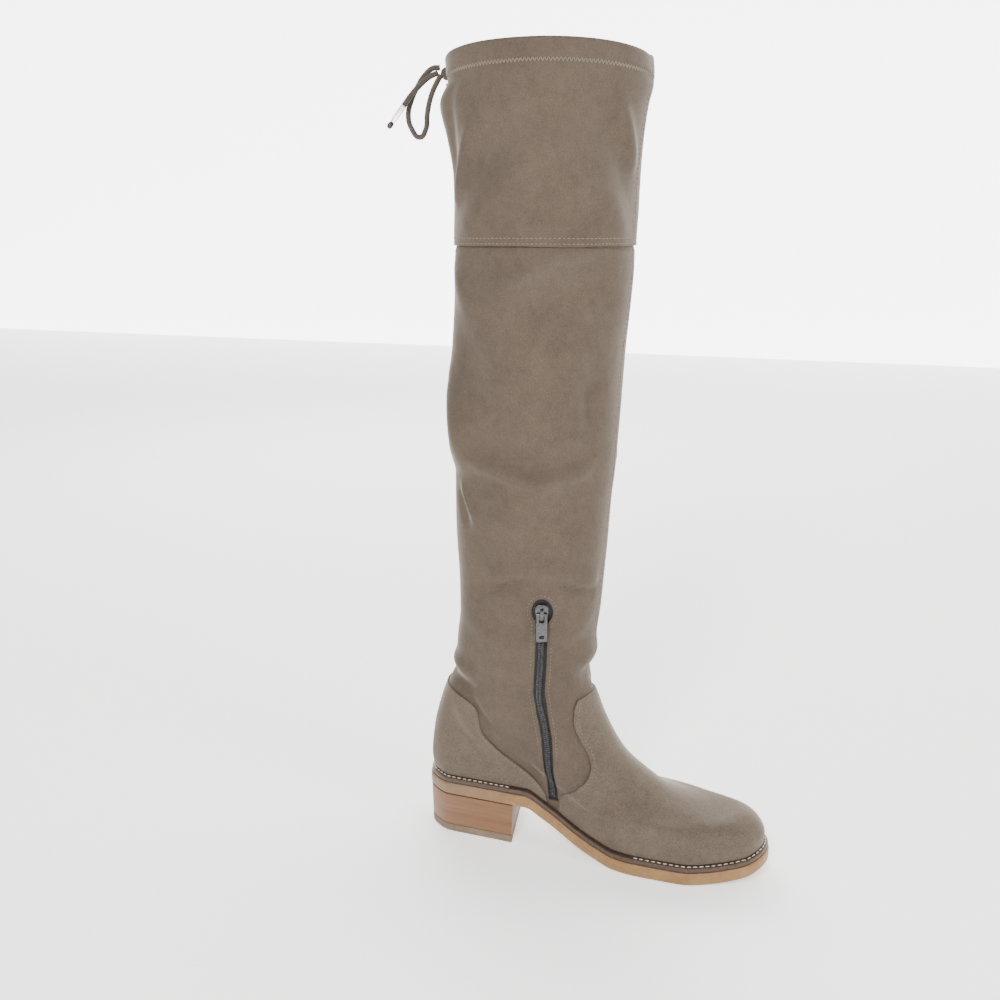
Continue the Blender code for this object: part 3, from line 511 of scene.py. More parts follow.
# Soft creases of the leather: turn in degrees and height in millimetres of both
# ends, width and how far it stands out, in millimetres
CREASES = (
    (63, 536, 36, 490, 6, 1.3),
    (46, 556, 30, 505, 7, -1.0),
    (150, 548, 169, 512, 6, 1.3),
    (139, 545, 158, 505, 8, -0.9),
    (114, 526, 58, 472, 13, 1.9),
    (114, 526, 156, 470, 12, 1.7),
    (108, 492, 106, 470, 13, -1.5),
    (80, 530, 60, 505, 10, -1.0),
    (80, 429, 133, 457, 9, 1.6),
    (92, 410, 142, 436, 11, -1.3),
    (35, 440, 62, 405, 10, 1.0),
    (27, 362, 52, 312, 13, 1.8),
    (52, 385, 78, 340, 13, -1.2),
    (143, 368, 146, 338, 9, -2.0),
    (120, 395, 138, 372, 9, 1.2),
    (66, 306, 109, 293, 6, 1.5),
    (109, 293, 146, 303, 6, 1.4),
    (68, 319, 110, 307, 7, -1.2),
    (110, 307, 146, 316, 7, -1.1),
    (47, 286, 60, 264, 4, 1.0),
    (40, 278, 52, 258, 5, -0.8),
    (76, 214, 100, 222, 4, -1.3),
    (118, 222, 163, 208, 4, -1.4),
    (78, 224, 112, 231, 6, 1.3),
    (112, 231, 163, 218, 6, 1.3),
    (8, 134, 62, 128, 5, -1.2),
    (8, 145, 58, 140, 6, 1.0),
    (62, 120, 80, 94, 5, -1.1),
    (52, 112, 68, 88, 6, 0.8),
    (160, 140, 200, 140, 8, -1.3),
    (158, 157, 202, 157, 9, 1.0),
    (205, 306, 262, 294, 7, 1.4),
    (210, 318, 262, 308, 7, -1.1),
    (212, 440, 282, 452, 10, 1.6),
    (214, 422, 280, 432, 10, -1.2),
    (236, 522, 302, 474, 13, 1.8),
    (212, 540, 240, 500, 9, -1.0),
    (238, 352, 298, 332, 11, -1.4),
    (245, 214, 318, 222, 6, -1.3),
    (245, 226, 318, 234, 7, 1.2),
    (300, 132, 350, 140, 6, -1.2),
    (300, 145, 350, 152, 7, 1.0),
    (285, 400, 330, 362, 12, 1.5),
    (336, 300, 356, 262, 9, 1.1),
    (318, 520, 342, 470, 9, 1.3),
    (190, 130, 232, 112, 6, -0.9),
    (225, 185, 300, 178, 9, 0.9),
    (60, 180, 92, 172, 8, 0.8),
    (128, 176, 160, 186, 8, 0.9),
)
MILLIMETRE = 0.001
TURN_REACH = 0.00098
CREASE_DEPTH = 2.8


def creases(angle, height):
    """How far the soft creases stand out at a turn and height."""
    turn = np.degrees(angle)
    total = np.zeros(np.broadcast(turn, height).shape)
    for turn_a, high_a, turn_b, high_b, width, out in CREASES:
        across = (turn_b - turn_a) * TURN_REACH
        up = (high_b - high_a) * MILLIMETRE
        away = ((turn - turn_a + 180) % 360 - 180) * TURN_REACH
        above = height - high_a * MILLIMETRE
        share = np.clip((away * across + above * up) / (across**2 + up**2), 0, 1)
        distance2 = (away - share * across) ** 2 + (above - share * up) ** 2
        fade = 1 - 0.45 * np.abs(2 * share - 1) ** 3
        total += out * fade * MILLIMETRE * np.exp(-distance2 / (width * MILLIMETRE) ** 2)
    return total * CREASE_DEPTH


def slack(angle, height):
    """Broad waves of the soft shaft, which die out on the foot and at the rim."""
    calm = np.clip((height - 0.13) / 0.06, 0, 1) * np.clip((BOOT_HEIGHT - height) / 0.05, 0, 1)
    wave = (np.sin(3 * angle + 21 * height + 0.7) * np.sin(34 * height + 1.3)
            + 0.6 * np.sin(5 * angle - 47 * height))
    return 0.0007 * calm * wave


def folded(angle, ring, out):
    height = skin(angle, ring)[..., 2]
    return skin_out(angle, ring, out + creases(angle, height) + slack(angle, height))


def skin_sheet(name, across, rows, low, high, out, wall, profile=None):
    """A wall of leather round the boot, between two rings."""
    made, u, v = sheet(name, across, rows)
    ring = low + v * (high - low)
    lift = profile(ring) if profile else 0.0 * ring
    place_points(made, folded(2 * math.pi * u, ring, out + wall + lift))
    merge(made, 1e-5)
    finish_modifier(made, "SOLIDIFY", thickness=wall, offset=-1.0, material_offset=1,
                    material_offset_rim=0)
    return made


# Places on the folded skin, found by turn and height or from the side
TABLE_ANGLES = np.linspace(0, 2 * math.pi, 361)
TABLE_RINGS = np.linspace(0, LAST_RING, 620)
TABLE = skin(*np.meshgrid(TABLE_ANGLES, TABLE_RINGS))


def ring_at(angle, height):
    """Ring of the skin at a height, for one angle."""
    column_at = (angle % (2 * math.pi)) / (2 * math.pi) * 360
    i = int(column_at) % 360
    share = column_at - int(column_at)
    heights = TABLE[:, i, 2] * (1 - share) + TABLE[:, i + 1, 2] * share
    return float(np.interp(height, heights, TABLE_RINGS))


def angle_at(x, height, medial=True):
    """Angle at which the skin at a height has a forward place x."""
    columns = range(0, 181) if medial else range(360, 179, -1)
    places = [np.interp(height, TABLE[:, i, 2], TABLE[:, i, 0]) for i in columns]
    order = np.maximum.accumulate(places) + 1e-9 * np.arange(len(places))
    return float(np.interp(x, order, [TABLE_ANGLES[i] for i in columns]))


def on_leather(angle, height, out):
    """Point on the folded skin and the way out of it."""
    ring = ring_at(angle, height)
    turn, up = np.array(angle), np.array(ring)
    point = folded(turn, up, out)
    ahead = folded(turn, up, out + 0.001)
    way = ahead - point
    return Vector(point), Vector(way / np.linalg.norm(way))


def evenly(places, pitch):
    """Points and ways out spaced evenly along a line of them."""
    line = np.array([tuple(point) for point, _ in places])
    ways = np.array([tuple(way) for _, way in places])
    along = np.concatenate([[0], np.cumsum(np.linalg.norm(np.diff(line, axis=0), axis=1))])
    count = max(2, int(along[-1] / pitch))
    at = (np.arange(count) + 0.5) * along[-1] / count

    def read(table, where):
        return np.column_stack([np.interp(where, along, table[:, k]) for k in range(3)])

    ahead = read(line, at + pitch * 0.3) - read(line, at - pitch * 0.3)
    return read(line, at), read(ways, at), ahead


def seed_shape(kind):
    """The small shape that a row repeats, as points and faces."""
    deselect()
    if kind == "stitch":
        bpy.ops.mesh.primitive_uv_sphere_add(segments=6, ring_count=5, radius=0.5)
    else:
        bpy.ops.mesh.primitive_cube_add(size=1.0)
        finish_modifier(bpy.context.active_object, "BEVEL", width=0.16, segments=1)
    seed = bpy.context.active_object
    points = np.array([tuple(vert.co) for vert in seed.data.vertices])
    faces = [tuple(face.vertices) for face in seed.data.polygons]
    bpy.data.objects.remove(seed, do_unlink=True)
    return points, faces


def row_of(kind, spots, size, lean=0.0, shift=0.0):
    """Copies of a small shape laid along a row: size is along, across, out."""
    points, faces = seed_shape(kind)
    all_points, all_faces = [], []
    places, ways, aheads = spots
    for index, (place, way, ahead) in enumerate(zip(places, ways, aheads)):
        way = way / np.linalg.norm(way)
        ahead = ahead / np.linalg.norm(ahead)
        side = np.cross(way, ahead)
        sign = 1 if index % 2 else -1
        run = ahead * math.cos(lean * sign) + side * math.sin(lean * sign)
        across = np.cross(way, run)
        frame_rows = np.array([run * size[0], across * size[1], way * size[2]])
        base = len(all_points) * len(points)
        all_points.append(points @ frame_rows + place + side * shift * sign)
        all_faces += [tuple(base + k for k in face) for face in faces]
    return np.concatenate(all_points), all_faces


def join_rows(name, rows, material, body, slot, *nodes):
    """Rows of small shapes as one piece."""
    points, faces = [], []
    for row_points, row_faces in rows:
        base = sum(len(part) for part in points)
        points.append(row_points)
        faces += [tuple(base + k for k in face) for face in row_faces]
    mesh = bpy.data.meshes.new(name)
    mesh.from_pydata([tuple(p) for p in np.concatenate(points)], [], faces)
    mesh.update()
    made = bpy.data.objects.new(name, mesh)
    bpy.context.collection.objects.link(made)
    smooth_shade(made, 60.0)
    shade(made, material)
    ride_on(made, body, slot, *nodes)
    return made


# Finishes
def new_group(name, inputs, outputs):
    tree = bpy.data.node_groups.new(name, "ShaderNodeTree")
    for socket, kind, value in inputs:
        made = tree.interface.new_socket(socket, in_out="INPUT", socket_type=kind)
        if value is not None:
            made.default_value = value
    for socket, kind in outputs:
        tree.interface.new_socket(socket, in_out="OUTPUT", socket_type=kind)
    return tree, tree.nodes.new("NodeGroupInput"), tree.nodes.new("NodeGroupOutput")


def node(tree, kind, values=None, **settings):
    made = tree.nodes.new("ShaderNode" + kind)
    for name, value in settings.items():
        setattr(made, name, value)
    for name, value in (values or {}).items():
        if isinstance(value, bpy.types.NodeSocket):
            tree.links.new(value, made.inputs[name])
        else:
            made.inputs[name].default_value = value
    return made


def noise(tree, vector, scale, detail=2.0, rough=0.5):
    return node(tree, "TexNoise", {"Vector": vector, "Scale": scale, "Detail": detail,
                                   "Roughness": rough}).outputs["Fac"]


def blend_colours(tree, share, first, second, way="MIX"):
    made = tree.nodes.new("ShaderNodeMix")
    made.data_type = "RGBA"
    made.blend_type = way
    for index, value in ((0, share), (6, first), (7, second)):
        if isinstance(value, bpy.types.NodeSocket):
            tree.links.new(value, made.inputs[index])
        else:
            made.inputs[index].default_value = value
    return made.outputs[2]


def span(tree, value, low, high, to_low=0.0, to_high=1.0):
    return node(tree, "MapRange", {"Value": value, "From Min": low, "From Max": high,
                                   "To Min": to_low, "To Max": to_high}).outputs["Result"]


def sums(tree, way, first, second):
    return node(tree, "Math", {0: first, 1: second}, operation=way).outputs[0]


FLOAT, COLOUR, VECTOR = "NodeSocketFloat", "NodeSocketColor", "NodeSocketVector"


def nap_group():
    """Brushed suede: patches of nap lying two ways, fibres and a fine grain."""
    tree, start, end = new_group(
        "brushed nap",
        (("Vector", VECTOR, None), ("Light", COLOUR, None), ("Dark", COLOUR, None),
         ("Patches", FLOAT, 26.0), ("Fibres", FLOAT, 1500.0)),
        (("Color", COLOUR), ("Height", FLOAT)))
    vector = start.outputs["Vector"]
    patches = noise(tree, vector, start.outputs["Patches"], 4.0, 0.6)
    smudges = noise(tree, vector, 150.0, 3.0, 0.65)
    fibres = noise(tree, vector, start.outputs["Fibres"], 2.0, 0.7)
    share = sums(tree, "ADD", span(tree, patches, 0.3, 0.7, 0.0, 0.62),
                 span(tree, smudges, 0.3, 0.7, 0.0, 0.38))
    base = blend_colours(tree, share, start.outputs["Dark"], start.outputs["Light"])
    speck = span(tree, fibres, 0.25, 0.75, 0.72, 1.22)
    grey = node(tree, "CombineColor", {0: speck, 1: speck, 2: speck}).outputs[0]
    tree.links.new(blend_colours(tree, 1.0, base, grey, "MULTIPLY"), end.inputs["Color"])
    tree.links.new(sums(tree, "ADD", fibres, sums(tree, "MULTIPLY", smudges, 0.8)),
                   end.inputs["Height"])
    return tree


def pitted_group():
    """Crepe rubber: crinkled, pitted and mottled."""
    tree, start, end = new_group(
        "pitted rubber",
        (("Vector", VECTOR, None), ("Light", COLOUR, None), ("Dark", COLOUR, None),
         ("Crumbs", FLOAT, 420.0)),
        (("Color", COLOUR), ("Height", FLOAT)))
    vector = start.outputs["Vector"]
    mottle = noise(tree, vector, 90.0, 5.0, 0.65)
    crumbs = noise(tree, vector, start.outputs["Crumbs"], 3.0, 0.7)
    pits = node(tree, "TexVoronoi", {"Vector": vector, "Scale": 620.0}).outputs["Distance"]
    share = sums(tree, "MULTIPLY", span(tree, mottle, 0.28, 0.7),
                 span(tree, crumbs, 0.25, 0.6, 0.55, 1.0))
    tree.links.new(blend_colours(tree, share, start.outputs["Dark"], start.outputs["Light"]),
                   end.inputs["Color"])
    tree.links.new(sums(tree, "ADD", crumbs, sums(tree, "MULTIPLY", pits, 0.6)),
                   end.inputs["Height"])
    return tree


def layers_group():
    """Stacked leather: level layers with dark joints and fine streaks."""
    tree, start, end = new_group(
        "stacked layers",
        (("Vector", VECTOR, None), ("Light", COLOUR, None), ("Dark", COLOUR, None),
         ("Layer", FLOAT, 0.0036)),
        (("Color", COLOUR), ("Height", FLOAT)))
    vector = start.outputs["Vector"]
    height = node(tree, "SeparateXYZ", {"Vector": vector}).outputs["Z"]
    wobble = sums(tree, "MULTIPLY", noise(tree, vector, 60.0), 0.0008)
    level = sums(tree, "DIVIDE", sums(tree, "ADD", height, wobble), start.outputs["Layer"])
    part = node(tree, "Math", {0: level}, operation="FRACT").outputs[0]
    joint = span(tree, sums(tree, "ABSOLUTE", sums(tree, "SUBTRACT", part, 0.5), 0.0),
                 0.40, 0.49)
    flat = node(tree, "Mapping", {"Vector": vector, "Scale": (40.0, 40.0, 1900.0)})
    streaks = noise(tree, flat.outputs["Vector"], 1.0, 3.0, 0.6)
    cell = node(tree, "Math", {0: level}, operation="FLOOR").outputs[0]
    tone = node(tree, "TexWhiteNoise", {"W": cell}, noise_dimensions="1D").outputs["Value"]
    share = sums(tree, "ADD", span(tree, streaks, 0.25, 0.75, 0.0, 0.75),
                 sums(tree, "MULTIPLY", tone, 0.3))
    base = blend_colours(tree, share, start.outputs["Dark"], start.outputs["Light"])
    deep = blend_colours(tree, sums(tree, "MULTIPLY", joint, 0.55), base,
                         (0.16, 0.07, 0.03, 1.0))
    tree.links.new(deep, end.inputs["Color"])
    tree.links.new(sums(tree, "SUBTRACT", sums(tree, "MULTIPLY", streaks, 0.5), joint),
                   end.inputs["Height"])
    return tree


def mottle_group():
    """Small changes of tone and gloss: thread, metal, plastic, smooth leather."""
    tree, start, end = new_group(
        "mottled surface",
        (("Vector", VECTOR, None), ("Light", COLOUR, None), ("Dark", COLOUR, None),
         ("Size", FLOAT, 300.0), ("Gloss low", FLOAT, 0.4), ("Gloss high", FLOAT, 0.6)),
        (("Color", COLOUR), ("Roughness", FLOAT), ("Height", FLOAT)))
    spots = noise(tree, start.outputs["Vector"], start.outputs["Size"], 4.0, 0.6)
    share = span(tree, spots, 0.3, 0.7)
    tree.links.new(blend_colours(tree, share, start.outputs["Dark"], start.outputs["Light"]),
                   end.inputs["Color"])
    rough = node(tree, "MapRange", {"Value": spots, "From Min": 0.3, "From Max": 0.7,
                                    "To Min": start.outputs["Gloss low"],
                                    "To Max": start.outputs["Gloss high"]})
    tree.links.new(rough.outputs["Result"], end.inputs["Roughness"])
    tree.links.new(spots, end.inputs["Height"])
    return tree


NAP, PITTED, LAYERS, MOTTLED = nap_group(), pitted_group(), layers_group(), mottle_group()


def finish_of(name, group, values, bump, depth, **sockets):
    """A material with one surface group; sockets are the shader's own values."""
    made = bpy.data.materials.new(name)
    made.use_nodes = True
    tree = made.node_tree
    shader = tree.nodes["Principled BSDF"]
    for socket, value in sockets.items():
        shader.inputs[socket.replace("_", " ")].default_value = value
    coordinates = node(tree, "TexCoord").outputs["Object"]
    effect = tree.nodes.new("ShaderNodeGroup")
    effect.node_tree = group
    tree.links.new(coordinates, effect.inputs["Vector"])
    for socket, value in values.items():
        effect.inputs[socket].default_value = value
    tree.links.new(effect.outputs["Color"], shader.inputs["Base Color"])
    if "Roughness" in effect.outputs:
        tree.links.new(effect.outputs["Roughness"], shader.inputs["Roughness"])
    relief = node(tree, "Bump", {"Strength": bump, "Distance": depth,
                                 "Height": effect.outputs["Height"]})
    tree.links.new(relief.outputs["Normal"], shader.inputs["Normal"])
    return made, tree, shader, effect, relief


def add_front_seam(parts):
    """A sewn line down the boot's front, where the piece's own map is at half."""
    made, tree, shader, effect, relief = parts
    across = node(tree, "SeparateXYZ", {"Vector": node(tree, "TexCoord").outputs["UV"]})
    away = sums(tree, "ABSOLUTE", sums(tree, "SUBTRACT", across.outputs["X"], 0.5), 0.0)
    line = span(tree, away, 0.0008, 0.0026, 1.0, 0.0)
    dark = blend_colours(tree, sums(tree, "MULTIPLY", line, 0.6), effect.outputs["Color"],
                         (0.035, 0.026, 0.02, 1.0))
    tree.links.new(dark, shader.inputs["Base Color"])
    groove = sums(tree, "SUBTRACT", effect.outputs["Height"], sums(tree, "MULTIPLY", line, 2.5))
    tree.links.new(groove, relief.inputs["Height"])
    return made


def tone(red, green, blue):
    return (red, green, blue, 1.0)


SUEDE = {"Roughness": 0.92, "Sheen_Weight": 0.45, "Sheen_Roughness": 0.34,
         "Specular_IOR_Level": 0.18, "Sheen_Tint": tone(0.80, 0.72, 0.64)}
SHAFT_SUEDE = add_front_seam(finish_of(
    "shaft suede", NAP, {"Light": tone(0.104, 0.080, 0.059), "Dark": tone(0.070, 0.053, 0.039),
                         "Patches": 22.0, "Fibres": 1500.0}, 0.35, 0.0004, **SUEDE))
FOOT_SUEDE = finish_of(
    "foot suede", NAP, {"Light": tone(0.128, 0.100, 0.075), "Dark": tone(0.090, 0.069, 0.051),
                        "Patches": 30.0, "Fibres": 950.0}, 0.5, 0.0005, **SUEDE)[0]
LINING = finish_of(
    "lining", MOTTLED, {"Light": tone(0.40, 0.33, 0.26), "Dark": tone(0.32, 0.26, 0.20),
                        "Size": 700.0, "Gloss low": 0.7, "Gloss high": 0.85}, 0.2, 0.0002)[0]
STACK = finish_of(
    "stacked leather", LAYERS,
    {"Light": tone(0.215, 0.102, 0.038), "Dark": tone(0.110, 0.048, 0.017),
                                "Layer": 0.0036}, 0.35, 0.0003, Roughness=0.48)[0]
TOP_RUBBER = finish_of(
    "top piece rubber", PITTED,
    {"Light": tone(0.21, 0.145, 0.095), "Dark": tone(0.13, 0.088, 0.058),
                                 "Crumbs": 700.0}, 0.25, 0.0003, Roughness=0.75)[0]
WELT_LEATHER = finish_of(
    "welt leather", MOTTLED, {"Light": tone(0.075, 0.043, 0.028), "Dark": tone(0.035, 0.02, 0.014),
                              "Size": 420.0, "Gloss low": 0.42, "Gloss high": 0.6}, 0.3, 0.0003)[0]
PALE_THREAD = finish_of(
    "welt thread", MOTTLED, {"Light": tone(0.72, 0.62, 0.47), "Dark": tone(0.52, 0.43, 0.31),
                             "Size": 1800.0, "Gloss low": 0.7, "Gloss high": 0.85}, 0.4, 0.0002)[0]
SUEDE_THREAD = finish_of(
    "seam thread", MOTTLED, {"Light": tone(0.190, 0.152, 0.116), "Dark": tone(0.130, 0.101, 0.077),
                             "Size": 1800.0, "Gloss low": 0.6, "Gloss high": 0.8}, 0.4, 0.0002)[0]
TAPE_CLOTH = finish_of(
    "zip tape cloth", NAP, {"Light": tone(0.022, 0.020, 0.020), "Dark": tone(0.010, 0.009, 0.009),
                            "Patches": 300.0, "Fibres": 2600.0}, 0.4, 0.0002, Roughness=0.8)[0]
GUNMETAL = finish_of(
    "gunmetal", MOTTLED, {"Light": tone(0.13, 0.13, 0.135), "Dark": tone(0.06, 0.06, 0.063),
                          "Size": 900.0, "Gloss low": 0.25, "Gloss high": 0.45}, 0.08, 0.0001,
    Metallic=0.95)[0]
CORD_SUEDE = finish_of(
    "cord", NAP, {"Light": tone(0.080, 0.062, 0.049), "Dark": tone(0.055, 0.041, 0.032),
                  "Patches": 60.0, "Fibres": 2200.0}, 0.5, 0.0003, Roughness=0.85,
    Sheen_Weight=0.2)[0]
CLEAR_SLEEVE = finish_of(
    "clear sleeve", MOTTLED, {"Light": tone(0.80, 0.77, 0.72), "Dark": tone(0.66, 0.62, 0.57),
                              "Size": 300.0, "Gloss low": 0.12, "Gloss high": 0.22}, 0.05, 0.0001,
    Transmission_Weight=0.75)[0]
DARK_BEAD = finish_of(
    "bead", MOTTLED, {"Light": tone(0.05, 0.035, 0.03), "Dark": tone(0.025, 0.018, 0.016),
                      "Size": 500.0, "Gloss low": 0.2, "Gloss high": 0.3}, 0.05, 0.0001)[0]


def crepe_finish():
    """Honey crepe that greys towards the heel."""
    made, tree, shader, effect, _ = finish_of(
        "crepe", PITTED, {"Light": tone(0.300, 0.165, 0.056), "Dark": tone(0.19, 0.094, 0.030),
                          "Crumbs": 420.0}, 0.5, 0.0005, Roughness=0.55, Subsurface_Weight=0.08,
        Subsurface_Scale=0.004)
    place = node(tree, "SeparateXYZ", {"Vector": node(tree, "TexCoord").outputs["Object"]})
    rear = span(tree, place.outputs["X"], 0.050, -0.010, 0.0, 0.8)
    greyed = blend_colours(tree, rear, effect.outputs["Color"], tone(0.17, 0.105, 0.062))
    tree.links.new(greyed, shader.inputs["Base Color"])
    return made


CREPE = crepe_finish()


# The leather upper
def slot_cutter(outline, near, far):
    """A solid block with a side view outline, to cut with."""
    deselect()
    bpy.ops.mesh.primitive_circle_add(vertices=len(outline), radius=1.0, fill_type="NGON")
    block = bpy.context.active_object
    for vert, (x, z) in zip(block.data.vertices, outline):
        vert.co = (x, near, z)
    bpy.ops.object.mode_set(mode="EDIT")
    bpy.ops.mesh.select_all(action="SELECT")
    bpy.ops.mesh.extrude_region_move(TRANSFORM_OT_translate={"value": (0, far - near, 0)})
    bpy.ops.mesh.select_all(action="SELECT")
    bpy.ops.mesh.normals_make_consistent(inside=False)
    bpy.ops.object.mode_set(mode="OBJECT")
    return block


def cut_with(target, block, operation):
    finish_modifier(target, "BOOLEAN", object=block, operation=operation, solver="EXACT")
    bpy.data.objects.remove(block, do_unlink=True)


KNEE_SINK = 0.0011
KNEE_FADE = 0.03


def knee_dip(share):
    """How far the leather lies in at the knee seam, fading over KNEE_FADE."""
    share = np.clip(share, 0, 1)
    return -KNEE_SINK * (1 - share * share * (3 - 2 * share))


def make_upper():
    lap = shaft_ring(KNEE_SEAM - SEAM_LAP / SHAFT_RISE)

    def profile(ring):
        return knee_dip((lap - ring) / (knee_ring() - lap) * 2 + 0.1)

    upper = skin_sheet("boot_upper", 176, 196, 0.0, float(knee_ring()), -WALL, WALL, profile)
    cut_with(upper, slot_cutter(slot_outline(), -BALL_WIDTH, -BALL_WIDTH / 8), "DIFFERENCE")
    shade(upper, SHAFT_SUEDE, LINING)
    smooth_shade(upper, 50.0)
    ride_on(upper, "boot", "shaft_suede", "upper")


def make_thigh_panel():
    """The thigh panel, whose hem is a soft channel for the drawstring."""
    lap = shaft_ring(KNEE_SEAM - SEAM_LAP / SHAFT_RISE)
    hem = shaft_ring(1 - HEM_HEIGHT / SHAFT_RISE)
    faded = shaft_ring(KNEE_SEAM + (KNEE_FADE - SEAM_LAP) / SHAFT_RISE)

    def profile(ring):
        in_hem = np.clip((ring - hem) / (LAST_RING - hem), 0, 1)
        channel = np.sqrt(np.clip(np.sin(np.pi * np.clip(in_hem * 1.02, 0, 1)), 0, 1))
        start = np.clip((ring - hem) / 0.05, 0, 1)
        turned = -0.0006 * np.clip((ring - LAST_RING + 0.25) / 0.25, 0, 1) ** 2
        seam = knee_dip((ring - lap) / (faded - lap))
        return start * HEM_STEP * (0.55 + 0.55 * channel) + turned * start + seam

    panel = skin_sheet("thigh_leather", 200, 96, lap, float(LAST_RING), GAP, WALL, profile)
    shade(panel, SHAFT_SUEDE, LINING)
    smooth_shade(panel, 50.0)
    ride_on(panel, "boot", "shaft_suede", "thigh_panel")


def make_overlay(name, node_name, outline):
    top = FIRST_SHAFT_RING + 0.4
    layer = skin_sheet(name, 220, 110, 1 + OVERLAY_START, top, GAP, OVERLAY)
    cut_with(layer, slot_cutter(outline, -BALL_WIDTH, BALL_WIDTH), "INTERSECT")
    shade(layer, FOOT_SUEDE)
    smooth_shade(layer, 50.0)
    ride_on(layer, "boot", "foot_suede", node_name)


def make_overlays():
    beyond = HEEL_BACK + 1.2 * LENGTH
    behind = HEEL_BACK - 0.2 * LENGTH
    vamp = edge_outline(VAMP_EDGE)
    make_overlay("vamp_leather", "vamp",
                 [(beyond, vamp[0][1]), (beyond, vamp[-1][1])] + vamp[::-1])
    counter = edge_outline(COUNTER_EDGE)
    make_overlay("counter_leather", "counter",
                 [(behind, counter[-1][1]), (behind, counter[0][1])] + counter)


# The sole and the heel
def sole_sheet(name, levels, material, slot, node_name, across=200):
    """A sole piece from levels of (fill, inset, height function), lowest first."""
    made, u, v = sheet(name, across, len(levels) - 1)
    angle = 2 * math.pi * u
    row = np.rint(v * (len(levels) - 1)).astype(int)
    points = np.zeros((len(u), 3))
    for index, (fill, inset, height) in enumerate(levels):
        here = row == index
        edge = sole_edge(angle[here], inset)
        points[here] = np.column_stack([edge[:, 0], edge[:, 1] * fill, height(edge[:, 0])])
    place_points(made, points)
    merge(made, 2e-5)
    shade(made, material)
    smooth_shade(made, 40.0)
    ride_on(made, "boot", slot, node_name)
    return made


def make_sole():
    def under(lift):
        return lambda x: sole_under(x) + lift

    def top(lift):
        return lambda x: sole_top(x) + lift

    sole_sheet("crepe_outsole", (
        (0.0, 0.002, under(0.0)), (0.35, 0.002, under(0.0)), (0.7, 0.002, under(0.0)),
        (1.0, 0.0022, under(0.0)), (1.0, 0.0009, under(0.0004)), (1.0, 0.0002, under(0.0013)),
        (1.0, 0.0, under(0.003)), (1.0, 0.0001, under(0.005)), (1.0, 0.0, top(-0.002)),
        (1.0, 0.0002, top(-0.0008)), (1.0, 0.0009, top(0.0)), (0.6, 0.0015, top(0.0)),
        (0.0, 0.002, top(0.0))), CREPE, "crepe", "outsole")
    low = GAP
    high = GAP + WELT
    sole_sheet("welt_strip", (
        (1.0, WELT_SHELF, top(low)), (1.0, 0.0022, top(low)), (1.0, 0.0012, top(low + 0.0003)),
        (1.0, 0.0009, top(low + 0.0012)), (1.0, 0.0009, top(high - 0.0012)),
        (1.0, 0.0013, top(high - 0.0003)), (1.0, 0.0022, top(high)),
        (1.0, WELT_SHELF, top(high)), (1.0, WELT_SHELF, top(low))), WELT_LEATHER, "welt", "welt")
    inset = FEATHER_INSET + WALL + INSOLE_PLAY
    base = INSOLE_LIFT
    sole_sheet("sock", (
        (0.0, inset, top(base)), (1.0, inset, top(base)), (1.0, inset, top(base + 0.002)),
        (1.0, inset + 0.001, top(base + INSOLE)), (0.6, inset + 0.001, top(base + INSOLE)),
        (0.0, inset + 0.001, top(base + INSOLE))), LINING, "lining", "insole", 120)


def refined(node_name, piece_name, material, slot, body="boot", bevel=0.0003, dissolve=4.0):
    """A CAD node's copy, merged, with its flat faces cleaned and edges rounded."""
    made = bpy.data.objects.new(piece_name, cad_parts[node_name].data.copy())
    bpy.context.collection.objects.link(made)
    merge(made, 1e-6)
    bpy.ops.object.mode_set(mode="EDIT")
    bpy.ops.mesh.select_all(action="SELECT")
    bpy.ops.mesh.dissolve_limited(angle_limit=math.radians(dissolve))
    bpy.ops.object.mode_set(mode="OBJECT")
    finish_modifier(made, "BEVEL", width=bevel, segments=3, limit_method="ANGLE",
                    angle_limit=math.radians(40))
    shade(made, material)
    smooth_shade(made, 40.0)
    ride_on(made, body, slot, node_name)
    return made


def make_heel():
    refined("heel_stack", "heel_layers", STACK, "heel_stack", bevel=0.0005, dissolve=0.5)
    refined("heel_top_piece", "heel_lift", TOP_RUBBER, "heel_top", bevel=0.0006, dissolve=0.5)


# Seams and stitches
def level_line(height, out, low_turn=0.0, high_turn=360.0, step=2.0):
    turns = np.arange(low_turn, high_turn + step / 2, step)
    return [on_leather(math.radians(turn), height, out) for turn in turns]


def upright_line(turn, low, high, out, aside):
    """Up the boot at a turn, a little to one side."""
    places = []
    for height in np.arange(low, high, 0.004):
        ring = ring_at(turn, height)
        radius = np.linalg.norm(skin(np.array(turn + 0.01), np.array(ring))
                                - skin(np.array(turn - 0.01), np.array(ring))) / 0.02
        places.append(on_leather(turn + aside / radius, height, out(height)))
    return places


def side_line(outline, out, medial):
    return [on_leather(angle_at(x, z, medial), z, out) for x, z in outline]


def inner_edge(table, inward):
    """An overlay's edge moved into the overlay, seen from the side."""
    line = np.array(edge_outline(table))
    ahead = np.gradient(line, axis=0)
    ahead /= np.linalg.norm(ahead, axis=1, keepdims=True)
    return line + np.column_stack([ahead[:, 1], -ahead[:, 0]]) * inward


# Rows of stitches: their lift over the knee seam's edge, the front seam's run and spread
KNEE_ROWS = (0.0016, 0.0052)
FRONT_ROWS = (-0.0019, 0.0019)
FRONT_FOOT = 0.136
FRONT_TOP = 0.571
SEAM_PITCH = 0.0031
HEM_PITCH = 0.0013
HEM_STITCH = (0.0036, 0.0008, 0.0010)
HEM_LEAN = 1.15
OVERLAY_PITCH = 0.0029
OVERLAY_STITCH = (0.0022, 0.0006, 0.0005)
EDGE_CLEARANCE = 0.008


